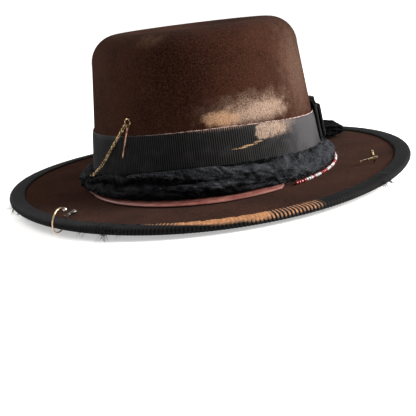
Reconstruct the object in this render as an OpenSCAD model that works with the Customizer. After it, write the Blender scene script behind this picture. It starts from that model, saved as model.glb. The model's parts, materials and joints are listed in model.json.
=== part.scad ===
// Wide-brimmed felt hat with a flat-topped crown, a ribbon band and bow, a rag wrap,
// a leather strap, a bead string and small metal trinkets.
// Origin: centre of the head opening, level with the underside of the brim at its break.
// +Z is up, -Y is the front, +X is the wearer's left.

/* [Felt crown] */
// Width of the felt opening, side to side
head_w = 170; // [140:1:205]
// Length of the felt opening, front to back
head_l = 201; // [165:1:242]
// Height of the crown
crown_h = 111; // [90:1:135]
// Thickness of the felt
felt_t = 2.5; // [1.8:0.1:3.5]
// Radius of the crown's shoulder
shoulder_r = 21; // [14:1:24]
// Inward lean of the crown at its sides, degrees
taper_side = 7; // [3:0.5:9]
// Inward lean of the crown at front and back, degrees
taper_end = 5; // [3:0.5:9]
// Depth of the dish in the crown's top
dish_depth = 3.5; // [3:0.5:9]
// Width of the slope down into the dish
dish_slope_w = 14; // [8:1:16]

/* [Brim] */
// Width of the brim from the crown to its edge
brim_w = 62.5; // [50:0.5:80]
// Mean rise of the brim's edge
brim_lift = 1.4; // [0:0.2:4]
// How much more the sides rise than the front and back
brim_curl = 2.2; // [0:0.2:4]
// Radius where the crown meets the brim
break_r = 3; // [2:0.5:4]

/* [Brim binding] */
// Width of the binding on each face of the brim
bind_w = 10; // [6:0.5:11]
// Thickness of the binding ribbon
bind_t = 0.7; // [0.4:0.1:1.2]
// Number of stitches round the binding
bind_stitches = 96; // [48:2:120]
// Thickness of the sewing thread
thread_d = 0.5; // [0.3:0.1:0.8]

/* [Hat band and bow] */
// Width of the band ribbon
band_w = 37; // [30:1:42]
// Thickness of the band ribbon
band_t = 0.9; // [0.5:0.1:1.4]
// Height of the band's lower edge at the sides
band_low = 6.5; // [6.1:0.1:9]
// How much higher the band sits at front and back
band_lift = 3.5; // [0:0.5:5]
// How much the band's top edge dips on the bow's side
band_dip = 4.5; // [0:0.5:6]
// Thickness of the looped thread along the band's top edge
edge_cord_d = 0.8; // [0.5:0.1:1.2]
// Place of the bow round the crown, degrees from the front
bow_at = 96; // [85:1:105]
// Height of the long loops' ribbon
bow_h = 25.5; // [22:0.5:30]
// Height of the short loops' narrower ribbon
bow_short_h = 22; // [18:1:26]
// Half length of the bow's long loops
bow_long = 40; // [32:1:46]
// Half length of the bow's short loops
bow_short = 32; // [26:1:36]
// Width of the bow's knot
knot_w = 13; // [9:1:16]
// Thickness of the bow's ribbon
bow_t = 0.7; // [0.5:0.1:1]

/* [Rag wrap] */
// Height of the wrap's top edge midway between its highest and lowest points
wrap_top = 19.5; // [16:0.5:22]
// How much the top edge swings above and below that
wrap_wave = 3.5; // [0:0.5:4]
// How far the wrap bulges off the band
wrap_bulge = 7; // [4:0.5:10]
// How far the knotted tail reaches out over the brim
tail_reach = 31; // [18:1:36]
// Width of the knotted tail
tail_w = 24; // [14:1:28]
// Place of the tail round the crown, degrees from the front
tail_at = 114; // [106:1:125]

/* [Leather strap] */
// Thickness of the folded strap
strap_t = 1.3; // [0.8:0.1:1.6]
// Rise of the strap's inner edge over its outer edge
strap_rise = 1; // [0:0.1:1.2]
// How far the strap swings out in front of the wrap
strap_swing = 8.5; // [4:0.5:12]

/* [Bead string] */
// Diameter of a bead
bead_d = 2.3; // [1.6:0.1:2.8]
// Number of beads
bead_count = 48; // [30:1:50]
// Thickness of the bead thread
bead_thread_d = 0.5; // [0.3:0.1:0.7]

/* [Chain, hook and hanging bar] */
// Mean radius of a chain link
link_r = 1.05; // [0.9:0.05:1.3]
// Thickness of the chain's wire
link_wire_d = 0.48; // [0.4:0.02:0.6]
// Mean radius of the hook
hook_r = 2.4; // [2:0.1:3]
// Thickness of the hook's wire
hook_wire_d = 0.8; // [0.6:0.1:0.9]
// Length of the hanging bar
bar_l = 21; // [14:1:24]
// Thickness of the hanging bar
bar_d = 1.2; // [0.8:0.1:1.4]
// Angle at which the bar hangs off straight down, degrees
bar_tilt = 18; // [0:1:25]

/* [Hoop and tube charm] */
// Mean radius of the hoop
hoop_r = 8; // [7:0.5:10]
// Thickness of the hoop's wire
hoop_wire_d = 1; // [0.8:0.1:1.2]
// Diameter of the hoop's bead
ball_d = 3; // [2.4:0.1:3.4]
// Length of the tube charm
tube_l = 8.5; // [6:0.5:12]
// Diameter of the tube charm
tube_d = 2.8; // [2.2:0.1:3.4]
// Wall of the tube charm
tube_wall = 0.4; // [0.3:0.05:0.6]

/* [Cross pin] */
// Length of the cross's long arm beyond the crossbar
arm_l = 10; // [7:0.5:14]
// Length of the crossbar
crossbar_l = 9; // [7:0.5:12]
// Thickness of the cross's bars
cross_bar_t = 1.3; // [1:0.1:1.8]
// Diameter of the pin's stem
stem_d = 0.9; // [0.7:0.1:1.2]
// Distance of the pin inside the brim's edge
pin_inset = 22; // [16:1:30]

/* [Sweatband and lining] */
// Height of the leather sweatband
sweat_h = 36; // [28:1:42]
// Thickness of the sweatband
sweat_t = 1.2; // [0.8:0.1:1.6]
// Diameter of the sweatband's reed
reed_d = 2; // [1.6:0.1:2.4]
// Number of stitches round the sweatband
sweat_stitches = 64; // [40:2:80]
// Thickness of the lining
lining_t = 0.5; // [0.3:0.1:0.8]
// Height of the lining's flat tip below the dish
tip_drop = 5; // [3:0.5:10]
// Thickness of the piping between the lining's side and tip
piping_d = 1.8; // [1.4:0.1:2.4]

/* [Clearances] */
// Space between layers that lie on each other
lay_gap = 0.2; // [0.1:0.05:0.4]
// Space between interlinked rings, or round a wire that turns
ring_gap = 0.06; // [0.04:0.01:0.1]
// Space between the hoop's wire and the edge of the binding
hoop_room = 0.6; // [0.3:0.1:1.2]
// Radial space round the pin's stem
stem_gap = 0.05; // [0.02:0.01:0.1]

/* [Hidden] */
$fn = 32;

// Sections round the hat's oval
steps = 64;
head_a = head_w / 2;
head_b = head_l / 2;
edge_d = felt_t + brim_w;
shoulder_z = crown_h - shoulder_r;
tip_z = crown_h - dish_depth - felt_t - tip_drop;

// Unit vector pointing out of the oval at angle t from the front
function out_dir(t) = let (v = [head_b * sin(t), -head_a * cos(t)]) v / norm(v);

// Point at angle t, d outside the opening's oval and z high
function at(t, d, z) = let (n = out_dir(t)) [head_a * sin(t) + n.x * d, -head_b * cos(t) + n.y * d, z];

// Slope of the crown wall at angle t
function lean(t) = tan(taper_side) * pow(sin(t), 2) + tan(taper_end) * pow(cos(t), 2);

// Offset of the felt's inner and outer wall at height z
function inner_wall(t, z) = -z * lean(t);
function outer_wall(t, z) = felt_t - z * lean(t);

// Underside and top of the brim at offset d
function brim_under(t, d) =
    (brim_lift - brim_curl * cos(2 * t)) * pow(max(0, (min(d, edge_d) - felt_t) / brim_w), 1.5);
function brim_top(t, d) = felt_t + brim_under(t, d);

// One closed ring of points, from functions of t for the offset and the height
function ring(d, z) = [for (i = [0:steps - 1]) let (t = i * 360 / steps) at(t, d(t), z(t))];

// Side faces between consecutive rings of n points
function side_faces(count, n, closed) = [
    for (r = [0:count - (closed ? 1 : 2)], i = [0:n - 1])
        let (a = r * n + i, b = r * n + (i + 1) % n)
        let (c = ((r + 1) % count) * n + (i + 1) % n, e = ((r + 1) % count) * n + i)
        each [[a, e, c], [a, c, b]]
];

// Skin whose cross-section is the loop that the rings draw
module loop_skin(rings) {
    polyhedron([for (r = rings) each r], side_faces(len(rings), steps, true));
}

// Shell closed by a middle point at its first and last ring
module dome_skin(rings, first, last) {
    n = steps;
    count = len(rings);
    points = [for (r = rings) each r, first, last];
    first_cap = [for (i = [0:n - 1]) [count * n, i, (i + 1) % n]];
    last_cap = [for (i = [0:n - 1]) [count * n + 1, (count - 1) * n + (i + 1) % n, (count - 1) * n + i]];
    polyhedron(points, concat(side_faces(count, n, false), first_cap, last_cap));
}

// Bar through cross-sections of equal point counts, closed at both ends
module swept(sections) {
    n = len(sections[0]);
    count = len(sections);
    start = [for (i = [0:n - 1]) i];
    finish = [for (i = [n - 1:-1:0]) (count - 1) * n + i];
    polyhedron([for (s = sections) each s], concat(side_faces(count, n, false), [start, finish]));
}

// Places a part on the brim: +X points out of the hat and +Z up
module on_brim(t, d, lift = 0) {
    n = out_dir(t);
    translate(at(t, d, brim_top(t, d) + lift)) rotate([0, 0, atan2(n.y, n.x)]) children();
}

// Places a part on the crown wall: +X points away from the wall and +Z up its slope
module on_wall(t, z, off = 0) {
    n = out_dir(t);
    tilt = atan(lean(t));
    translate(at(t, outer_wall(t, z), z))
        rotate([0, 0, atan2(n.y, n.x)]) rotate([0, -tilt, 0]) translate([off, 0, 0]) children();
}

// Ring of round wire lying in the XY plane
module wire_ring(r, wire_d) {
    rotate_extrude() translate([r, 0]) circle(d = wire_d);
}

// ---- Felt ----

arc_angles = [90, 72, 54, 36, 18, 0];
break_angles = [0, 30, 60, 90];

shoulder_mid = function(t) outer_wall(t, shoulder_z) - shoulder_r;
// Width of the flat rim round the dish, and how far it lies below the crown's highest ring
dish_rim_w = 3;
dish_rim_drop = 0.5;
// Rise of the dish's floor towards its middle, which starts this far inside the slope
floor_rise = 0.8;
floor_ring = 16;
dish_edge = function(t) shoulder_mid(t) - dish_rim_w;
dish_floor = function(t) dish_edge(t) - dish_slope_w;
dish_middle_z = crown_h - dish_depth + floor_rise + 0.2;

// Rings of the crown and brim skin; inside = 1 draws the inner skin
function crown_rings(inside) =
    let (drop = inside * felt_t, arc_r = shoulder_r - drop)
    [
        ring(
            function(t) dish_floor(t) - floor_ring,
            function(t) crown_h - dish_depth + floor_rise - drop),
        ring(dish_floor, function(t) crown_h - dish_depth - drop),
        ring(
            function(t) (dish_floor(t) + dish_edge(t)) / 2 + 1,
            function(t) crown_h - dish_depth / 2 - drop),
        ring(dish_edge, function(t) crown_h - dish_rim_drop - drop),
        for (q = arc_angles)
            ring(function(t) shoulder_mid(t) + arc_r * cos(q), function(t) shoulder_z + arc_r * sin(q))
    ];

function break_rings() = [
    for (q = break_angles)
        ring(
            function(t) outer_wall(t, felt_t + break_r) + break_r * (1 - cos(q)),
            function(t) felt_t + break_r * (1 - sin(q)))
];

function brim_rings(drop, shares) = [
    for (k = shares)
        ring(
            function(t) felt_t + break_r + (brim_w - break_r) * k,
            function(t) brim_top(t, felt_t + break_r + (brim_w - break_r) * k) - drop)
];

// Lower start of the crown's inner wall
inner_start = 1.5;

module felt_blank() {
    outside = crown_rings(0);
    inside = crown_rings(1);
    count = len(inside);
    dome_skin(
        concat(
            outside, break_rings(),
            brim_rings(0, [0.25, 0.5, 0.75, 1]), brim_rings(felt_t, [1, 0.75, 0.5, 0.25]),
            [ring(function(t) inner_start, function(t) 0)],
            [ring(function(t) inner_wall(t, inner_start), function(t) inner_start)],
            [for (i = [count - 1:-1:0]) inside[i]]),
        [0, 0, dish_middle_z],
        [0, 0, dish_middle_z - felt_t]);
}

module felt_body() {
    color([0.2, 0.11, 0.08]) difference() {
        felt_blank();
        hoop_place() wire_ring(hoop_r, hoop_wire_d + 2 * ring_gap);
        pin_place() translate([0, 0, -stem_reach]) cylinder(h = stem_reach + 1, d = stem_d + 2 * stem_gap);
        hook_place() hook_post(hook_wire_d + 2 * ring_gap);
    }
}

// ---- Brim binding ----

module brim_binding() {
    top = function(t, d, up) brim_top(t, d) + up;
    low = function(t, d, down) brim_under(t, d) - down;
    far = bind_t + lay_gap;
    in_d = edge_d - bind_w;
    color([0.09, 0.09, 0.09]) difference() {
        loop_skin([
            ring(function(t) in_d, function(t) top(t, in_d, lay_gap)),
            ring(function(t) in_d, function(t) top(t, in_d, far)),
            ring(function(t) edge_d - 1, function(t) top(t, edge_d - 1, far)),
            ring(function(t) edge_d + far, function(t) top(t, edge_d, lay_gap / 2)),
            ring(function(t) edge_d + far, function(t) low(t, edge_d, lay_gap / 2)),
            ring(function(t) edge_d - 1, function(t) low(t, edge_d - 1, far)),
            ring(function(t) in_d, function(t) low(t, in_d, far)),
            ring(function(t) in_d, function(t) low(t, in_d, lay_gap)),
            ring(function(t) edge_d + lay_gap, function(t) low(t, edge_d, lay_gap)),
            ring(function(t) edge_d + lay_gap, function(t) top(t, edge_d, lay_gap))
        ]);
        hoop_place() wire_ring(hoop_r, hoop_wire_d + 2 * ring_gap);
    }
}

// Distance of the stitching from the binding's inner edge
stitch_in = 1.5;
// Length of one stitch of the binding and of the sweatband
stitch_l = 3.2;
sweat_stitch_l = 4;

module binding_stitches() {
    d = edge_d - bind_w + stitch_in;
    color([0.15, 0.14, 0.13])
    for (i = [0:bind_stitches - 1]) {
        t = (i + 0.5) * 360 / bind_stitches;
        on_brim(t, d, bind_t + 1.5 * lay_gap + thread_d / 2)
            rotate([90, 0, 0]) cylinder(h = stitch_l, d = thread_d, center = true, $fn = 8);
    }
}

// ---- Hat band and bow ----

band_bottom = function(t) band_low + band_lift * (1 + cos(2 * t)) / 2;
band_top = function(t) band_bottom(t) + band_w - band_dip * pow(max(0, sin(t)), 1.5);
// Outer face of the band
function band_face(t, z) = outer_wall(t, z) + lay_gap + band_t;

module hat_band() {
    color([0.1, 0.1, 0.1]) loop_skin([
        ring(function(t) outer_wall(t, band_bottom(t)) + lay_gap, band_bottom),
        ring(function(t) band_face(t, band_bottom(t)), band_bottom),
        ring(function(t) band_face(t, band_top(t)), band_top),
        ring(function(t) outer_wall(t, band_top(t)) + lay_gap, band_top)
    ]);
}

module band_edge_cord() {
    r = edge_cord_d / 2;
    mid = function(t) outer_wall(t, band_top(t)) + lay_gap + r;
    color([0.72, 0.58, 0.54]) loop_skin([
        for (q = [0:90:270])
            ring(
                function(t) mid(t) + r * sin(q),
                function(t) band_top(t) + lay_gap / 2 + r * (1 - cos(q)))
    ]);
}

// Radius of the crown's side where the bow lies
bow_curve_r = pow(head_b, 2) / head_a;
// Space between the bow's layers
bow_gap = 0.4;
// Least depth of a loop, where its two layers meet
loop_depth = 1.6;
// How much further the loops open at their middle
long_open = 0.8;
short_open = 1;
// Angle from the bow's middle to the far end of its long loops
bow_half_angle = bow_long / head_b * 180 / PI;
// Drop of the long loops' ends, which curve back round a leaning wall
bow_end_drop = pow(bow_long, 2) / (2 * bow_curve_r) * lean(bow_at);
bow_low = wrap_high(bow_at + bow_half_angle) + bow_end_drop + 2 * lay_gap;
bow_z = bow_low + bow_h / 2;

// Outline of one ribbon loop between u0 and u1, inset by t
function loop_outline(u0, u1, v0, open, t) =
    let (n = 12, a = u0 + t, b = u1 - t)
    let (bend = function(u) v0 - u * u / (2 * bow_curve_r))
    let (puff = function(s) loop_depth + open * sin(180 * pow(s, 1.4)))
    concat(
        [for (i = [0:n]) let (u = a + (b - a) * i / n) [u, bend(u) + t]],
        [for (i = [n:-1:0]) let (u = a + (b - a) * i / n) [u, bend(u) - t + puff((u - u0) / (u1 - u0))]]);

module ribbon_loop(u1, v0, open, h) {
    u0 = knot_w / 2 + bow_gap / 2;
    translate([0, 0, -bow_h / 2]) linear_extrude(height = h) difference() {
        polygon(loop_outline(u0, u1, v0, open, 0));
        polygon(loop_outline(u0, u1, v0, open, bow_t));
    }
}

// Local +X of the outline runs along the band, +Y away from it
module bow_place() {
    on_wall(bow_at, bow_z, band_t + 2 * lay_gap) rotate([0, 0, -90]) children();
}

module loop_pair(u1, v0, open, h) {
    for (side = [0, 1]) mirror([side, 0, 0]) ribbon_loop(u1, v0, open, h);
}

short_base = loop_depth + long_open + bow_gap;

module bow_long_loops() {
    color([0.07, 0.07, 0.07]) bow_place() loop_pair(bow_long, bow_gap, long_open, bow_h);
}

module bow_short_loops() {
    color([0.08, 0.08, 0.08]) bow_place()
        loop_pair(bow_short, short_base + bow_gap, short_open, bow_short_h);
}

module bow_knot() {
    depth = short_base + loop_depth + bow_gap;
    color([0.07, 0.07, 0.07]) bow_place() translate([0, depth / 2 + bow_gap, 0]) {
        linear_extrude(height = bow_h + 1, center = true) polygon([
            for (q = [0:20:340])
                let (c = cos(q), s = sin(q))
                [sign(c) * pow(abs(c), 0.5) * knot_w / 2, sign(s) * pow(abs(s), 0.5) * depth / 2]
        ]);
    }
}

// ---- Rag wrap ----

wrap_low = felt_t + strap_t + strap_rise + 3 * lay_gap;
gather_at = -76;
function wrap_high(t) = wrap_top + wrap_wave * cos(2 * t);
function gathers(t) = 1 + 0.3 * pow(max(0, cos(t - gather_at)), 10);
function wrap_face(t, z, share) = band_face(t, z) + lay_gap + wrap_bulge * share * gathers(t);

// Height and bulge of the wrap's section, from its lower inside corner round to its top
wrap_section = [[0, 0.05], [0, 0.7], [0.16, 1], [0.45, 0.9], [0.78, 0.52], [1, 0.16], [1, 0.03]];

module rag_wrap() {
    color([0.13, 0.13, 0.14]) loop_skin([
        for (p = wrap_section)
            let (z = function(t) wrap_low + (wrap_high(t) - wrap_low) * p[0])
            ring(function(t) wrap_face(t, z(t), p[1]), z)
    ]);
}

// Where the tail leaves the wrap
tail_start = band_face(tail_at, wrap_low) + 2 * lay_gap + wrap_bulge;
// Space under the tail, where it lies on the brim
tail_lift = 2.2;
// Rise of the brim from the tail's start to a distance u further out
function tail_rise(u) = brim_top(tail_at, tail_start + u) - brim_top(tail_at, tail_start);
// Share of the reach, share of the width, height, of each section of the tail
tail_sections = [[0, 0.45, 10], [0.2, 0.8, 12], [0.5, 1, 13], [0.8, 0.95, 11], [1, 0.75, 7]];

module rag_tail() {
    color([0.05, 0.06, 0.06]) on_brim(tail_at, tail_start) swept([
        for (p = tail_sections)
            [for (q = [22.5:45:337.5])
                let (h = p[2] / 2, base = tail_lift + tail_rise(p[0] * tail_reach))
                [p[0] * tail_reach, tail_w / 2 * p[1] * cos(q), base + h * (1 + sin(q))]]
    ]);
}

// ---- Leather strap ----

strap_from = -262;
strap_to = 27;
strap_in = felt_t + break_r + 0.5;
strap_out = felt_t + break_r + 4.5;
strap_sections = 52;
// Angle where the strap swings out most, and how far to each side it does
swing_at = -13;
swing_half = 52;

function strap_edge(t) =
    let (away = abs(t - swing_at))
    strap_out + (away < swing_half ? strap_swing * cos(90 * away / swing_half) : 0);

module leather_strap() {
    color([0.42, 0.2, 0.18]) swept([
        for (i = [0:strap_sections])
            let (t = strap_from + (strap_to - strap_from) * i / strap_sections, far = strap_edge(t))
            [
                at(t, strap_in, brim_top(t, strap_in) + lay_gap + strap_rise),
                at(t, far, brim_top(t, far) + lay_gap),
                at(t, far, brim_top(t, far) + lay_gap + strap_t),
                at(t, strap_in, brim_top(t, strap_in) + lay_gap + strap_rise + strap_t)
            ]
    ]);
}

// ---- Bead string ----

bead_from = 31;
// Angle from one bead to the next
bead_turn = 1.42;
bead_off = band_face(90, wrap_low) + wrap_bulge + bead_d / 2 + 3 * lay_gap;
// How far the string swings out beside the strap's tip
bead_swing = 2.2;

function bead_t(i) = bead_from + i * bead_turn;
function string_point(t) =
    let (d = bead_off + bead_swing * pow(max(0, cos((t - 42) * 2)), 2))
    at(t, d, brim_top(t, d) + lay_gap + bead_d / 2);
function bead_red(i) = let (k = i % 11) k < 4 || k == 7;

module bead(i) {
    t = bead_t(i);
    along = string_point(t + 0.5) - string_point(t - 0.5);
    translate(string_point(t)) rotate([0, 90, atan2(along.y, along.x)]) difference() {
        intersection() {
            sphere(d = bead_d * 1.06, $fn = 24);
            cylinder(h = bead_d * 0.86, d = bead_d, center = true, $fn = 24);
        }
        cylinder(h = bead_d * 2, d = bead_thread_d + 4 * ring_gap, center = true, $fn = 16);
    }
}

module red_beads() {
    color([0.45, 0.05, 0.06]) for (i = [0:bead_count - 1]) if (bead_red(i)) bead(i);
}

module white_beads() {
    color([0.9, 0.88, 0.86]) for (i = [0:bead_count - 1]) if (!bead_red(i)) bead(i);
}

module bead_thread() {
    r = bead_thread_d / 2;
    color([0.1, 0.1, 0.1]) swept([
        for (i = [-1:bead_count])
            let (t = bead_t(i), c = string_point(t), n = out_dir(t))
            [for (q = [0:60:300]) c + [n.x * r * cos(q), n.y * r * cos(q), r * sin(q)]]
    ]);
}

// ---- Chain, hook and hanging bar ----

hook_t = -39.5;
hook_z = 55;
// Space between the hanging bar and the band
bar_room = 0.6;
// Distance of the hook's wire from the felt
hook_off = band_t + lay_gap + bar_d / 2 + bar_room;

module hook_place() {
    on_wall(hook_t, hook_z, hook_off) children();
}

// Post that runs from the hook's wire into the felt
module hook_post(d) {
    post_l = hook_off + felt_t - 0.2;
    translate([-post_l, 0, hook_r]) rotate([0, 90, 0]) cylinder(h = post_l, d = d);
}

module chain_hook() {
    color([0.83, 0.64, 0.3]) hook_place() {
        rotate([0, -90, 0]) wire_ring(hook_r, hook_wire_d);
        hook_post(hook_wire_d);
    }
}

// Where the chain leaves the hook's wire: the angle below level, on the side away from the front
leave_angle = 35;
chain_from_t = -42.4;
chain_to_t = -67.5;
chain_from_z = hook_z - 1.4;
chain_to_z = wrap_high(chain_to_t) - 1;
chain_sag = 2.5;
// How far the chain's end climbs over the wrap
chain_climb = wrap_bulge * 0.55 + lay_gap;
anchor_r = 1.6;
// Space between the links and the band
chain_room = 0.3;
// Distance of the chain's middle from the band's face
chain_off = link_r + link_wire_d / 2 + chain_room;

// Point beside the crown wall: off away from the wall, y round it and up along its slope
function wall_point(t, z, off, y, up) =
    let (n = out_dir(t), a = atan(lean(t)))
    at(t, outer_wall(t, z), z) + off * [n.x * cos(a), n.y * cos(a), sin(a)]
        + y * [-n.y, n.x, 0] + up * [-n.x * sin(a), -n.y * sin(a), cos(a)];

chain_start = wall_point(hook_t, hook_z, hook_off, -hook_r * cos(leave_angle), -hook_r * sin(leave_angle));

// Point of the chain's rest line on the band and wrap at share s of its way
function rest_point(s) =
    let (t = chain_from_t + (chain_to_t - chain_from_t) * s)
    let (z = chain_from_z + (chain_to_z - chain_from_z) * s - chain_sag * 4 * s * (1 - s))
    at(t, band_face(t, z) + chain_off + chain_climb * pow(max(0, s - 0.6) / 0.4, 2), z);

function chain_point(s) = rest_point(s) + (chain_start - rest_point(0)) * pow(1 - s, 3);

// Lengths along the line in fine steps
chain_grain = 120;
chain_marks = [for (i = [0:chain_grain]) chain_point(i / chain_grain)];
function mark_gap(i) = norm(chain_marks[min(i + 1, chain_grain)] - chain_marks[i]);
chain_lengths = [for (i = 0, sum = 0; i <= chain_grain; sum = sum + mark_gap(i), i = i + 1) sum];

// Share of the way at which the line has length w
function share_at(w, i = 0) =
    (i >= chain_grain - 1 || chain_lengths[i + 1] >= w)
        ? (i + (w - chain_lengths[i]) / (chain_lengths[i + 1] - chain_lengths[i])) / chain_grain
        : share_at(w, i + 1);

// Distances from the hook's wire to the first link, and from the last link to the anchor ring
first_step = link_r - link_wire_d / 2 - hook_wire_d / 2 - ring_gap;
last_step = link_r + anchor_r - link_wire_d - ring_gap;
links_run = chain_lengths[chain_grain] - first_step - last_step;
link_steps = ceil(links_run / (2 * link_r - link_wire_d - ring_gap));
link_pitch = links_run / link_steps;

// Places a ring on the chain's line at length w: +X along the line and +Z off the crown
module on_chain(w) {
    s = share_at(w);
    p = chain_point(s);
    ahead = chain_point(s + 0.01) - chain_point(s - 0.01);
    x = ahead / norm(ahead);
    t = chain_from_t + (chain_to_t - chain_from_t) * s;
    n = out_dir(t);
    side = cross([n.x, n.y, lean(t)], x);
    y = side / norm(side);
    z = cross(x, y);
    multmatrix([[x.x, y.x, z.x, p.x], [x.y, y.y, z.y, p.y], [x.z, y.z, z.z, p.z], [0, 0, 0, 1]]) children();
}

module chain_links() {
    color([0.85, 0.67, 0.32])
    for (i = [0:link_steps])
        on_chain(first_step + i * link_pitch)
            rotate([i % 2 == 0 ? 90 : 0, 0, 0]) wire_ring(link_r, link_wire_d);
}

module chain_anchor_ring() {
    color([0.8, 0.62, 0.3])
    on_chain(chain_lengths[chain_grain])
        rotate([link_steps % 2 == 0 ? 0 : 90, 0, 0]) wire_ring(anchor_r, link_wire_d);
}

// Wire of the eye at the bar's top, and its play on the hook
eye_wire_d = 0.44;
eye_play = 0.2;

module hanging_bar() {
    eye_r = hook_wire_d / 2 + bar_d / 2 + eye_play;
    color([0.72, 0.45, 0.36]) hook_place() translate([0, 0, -hook_r]) rotate([-bar_tilt, 0, 0]) {
        rotate([90, 0, 0]) wire_ring(eye_r, eye_wire_d);
        translate([0, 0, -eye_r - bar_l]) cylinder(h = bar_l, d = bar_d);
    }
}

// ---- Hoop and tube charm ----

hoop_t = -43;
hoop_yaw = 20;
hoop_lean = 12;
// Height of the hoop's centre over the brim's top
hoop_rise = 1.2;
// Distance of the hoop's centre inside the brim's edge, so that its wire clears the binding's corner
hoop_drop = hoop_rise + felt_t + bind_t + lay_gap;
hoop_reach = sqrt(pow(hoop_r, 2) - pow(hoop_drop, 2)) * cos(hoop_yaw);
hoop_inset = hoop_reach - hoop_wire_d / 2 - bind_t - lay_gap - hoop_room;
bail_wire_d = 0.5;
// Play of the bail on the hoop, and height of the tube's side over the brim
bail_play = 0.55;
tube_clear = 0.3;
bail_r = hoop_wire_d / 2 + bail_wire_d / 2 + bail_play;
bail_angle = asin((tube_d / 2 + tube_clear - hoop_rise) / hoop_r);
ball_angle = 40;

// Hoop's middle: local XY is the hoop's plane, +X points into the hat and +Y up
module hoop_place() {
    on_brim(hoop_t, edge_d - hoop_inset, hoop_rise)
        rotate([0, 0, 180 + hoop_yaw]) rotate([hoop_lean, 0, 0]) rotate([90, 0, 0]) children();
}

module hoop_ring() {
    color([0.86, 0.68, 0.45]) hoop_place() wire_ring(hoop_r, hoop_wire_d);
}

module hoop_ball() {
    color([0.75, 0.72, 0.68]) hoop_place() difference() {
        rotate([0, 0, ball_angle]) translate([hoop_r, 0, 0]) sphere(d = ball_d);
        wire_ring(hoop_r, hoop_wire_d);
    }
}

// Point on the hoop where the charm hangs: local +X points along the tube
module charm_place() {
    hoop_place()
        rotate([0, 0, bail_angle]) translate([hoop_r, 0, 0]) rotate([0, 0, -bail_angle]) children();
}

module charm_bail() {
    color([0.5, 0.48, 0.44]) charm_place() rotate([90, 0, 0]) wire_ring(bail_r, bail_wire_d);
}

// Thickness of the tube's closed end
tube_floor = 0.6;

module tube_charm() {
    color([0.3, 0.29, 0.27]) charm_place() translate([bail_r + bail_wire_d / 2, 0, 0]) rotate([0, 90, 0])
    difference() {
        cylinder(h = tube_l, d = tube_d);
        translate([0, 0, tube_floor]) cylinder(h = tube_l, d = tube_d - 2 * tube_wall);
    }
}

// ---- Cross pin ----

pin_t = 60;
pin_lean = 8;
pin_yaw = 28;
stem_reach = 8;
// Height of the crossing over the crossbar's foot, as a share of the crossbar
cross_share = 0.37;
cross_z = crossbar_l * cross_share;
// How far the long arm passes the crossing
arm_past = 3;
// Height of the pin's foot over the brim
pin_lift = 0.3;

// Foot of the pin on the brim: +Z runs up the stem, -X along the cross's long arm
module pin_place() {
    on_brim(pin_t, edge_d - pin_inset, pin_lift) rotate([0, 0, pin_yaw]) rotate([0, -pin_lean, 0]) children();
}

module cross_pin() {
    color([0.84, 0.66, 0.4]) pin_place() {
        translate([-cross_bar_t / 2, -cross_bar_t / 2, 0]) cube([cross_bar_t, cross_bar_t, crossbar_l]);
        translate([-arm_l, -cross_bar_t / 2, cross_z - cross_bar_t / 2])
            cube([arm_l + arm_past, cross_bar_t, cross_bar_t]);
        translate([0, 0, -stem_reach]) cylinder(h = stem_reach + 0.5, d = stem_d);
    }
}

clutch_h = 3;
clutch_d = 5;
// Diameter of the clutch's body, thickness of its plate, and space between the plate and the felt
clutch_body_d = 3.2;
plate_t = 0.6;
plate_gap = 1.1;

module pin_clutch() {
    top = -felt_t - plate_gap;
    color([0.7, 0.68, 0.62]) pin_place() difference() {
        union() {
            translate([0, 0, top - clutch_h]) cylinder(h = clutch_h, d = clutch_body_d);
            translate([0, 0, top - plate_t]) cylinder(h = plate_t, d = clutch_d);
        }
        translate([0, 0, top - clutch_h - 1]) cylinder(h = clutch_h + 2, d = stem_d + 2 * stem_gap);
    }
}

// ---- Sweatband and lining ----

// Offset of the lining's and the sweatband's outer faces from the felt's inner wall
function lining_face(t, z) = inner_wall(t, z) - lay_gap;
function sweat_face(t, z) = lining_face(t, z) - lining_t - lay_gap;
sweat_low = reed_d + 2 * lay_gap;

module sweatband() {
    low = function(t) sweat_low;
    high = function(t) sweat_low + sweat_h;
    color([0.3, 0.17, 0.1]) loop_skin([
        ring(function(t) sweat_face(t, sweat_low) - sweat_t, low),
        ring(function(t) sweat_face(t, sweat_low), low),
        ring(function(t) sweat_face(t, sweat_low + sweat_h), high),
        ring(function(t) sweat_face(t, sweat_low + sweat_h) - sweat_t, high)
    ]);
}

module sweatband_reed() {
    r = reed_d / 2;
    color([0.75, 0.72, 0.65]) loop_skin([
        for (q = [0:60:300])
            ring(function(t) -lay_gap - r + r * sin(q), function(t) lay_gap + r - r * cos(q))
    ]);
}

// Height of the stitches and of the little bow over the sweatband's lower edge
sweat_stitch_rise = 1.8;
sweat_bow_rise = 10;

module sweatband_stitches() {
    z = sweat_low + sweat_stitch_rise;
    color([0.45, 0.33, 0.2])
    for (i = [0:sweat_stitches - 1]) {
        t = (i + 0.5) * 360 / sweat_stitches;
        n = out_dir(t);
        translate(at(t, sweat_face(t, z) - sweat_t - lay_gap - thread_d / 2, z))
            rotate([0, 0, atan2(n.y, n.x)]) rotate([90, 0, 0])
            cylinder(h = sweat_stitch_l, d = thread_d, center = true, $fn = 8);
    }
}

// Small flat bow at the back of the sweatband
module sweatband_bow() {
    z = sweat_low + sweat_bow_rise;
    t = 180;
    n = out_dir(t);
    lean_back = atan(lean(t));
    color([0.07, 0.07, 0.07])
    translate(at(t, sweat_face(t, z) - sweat_t, z))
        rotate([0, 0, atan2(n.y, n.x)]) rotate([0, -lean_back, 0]) translate([-1.2, 0, 0]) {
            for (side = [-1, 1]) rotate([side * 14, 0, 0])
                translate([-0.5, side * 5, 0]) rotate([0, 90, 0]) linear_extrude(height = 0.8)
                polygon([[-1.2, -side * 4.6], [1.2, -side * 4.6], [3, side * 4.4], [-3, side * 4.4]]);
            translate([-0.9, -1.6, -2]) cube([1.6, 3.2, 4]);
        }
}

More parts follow.
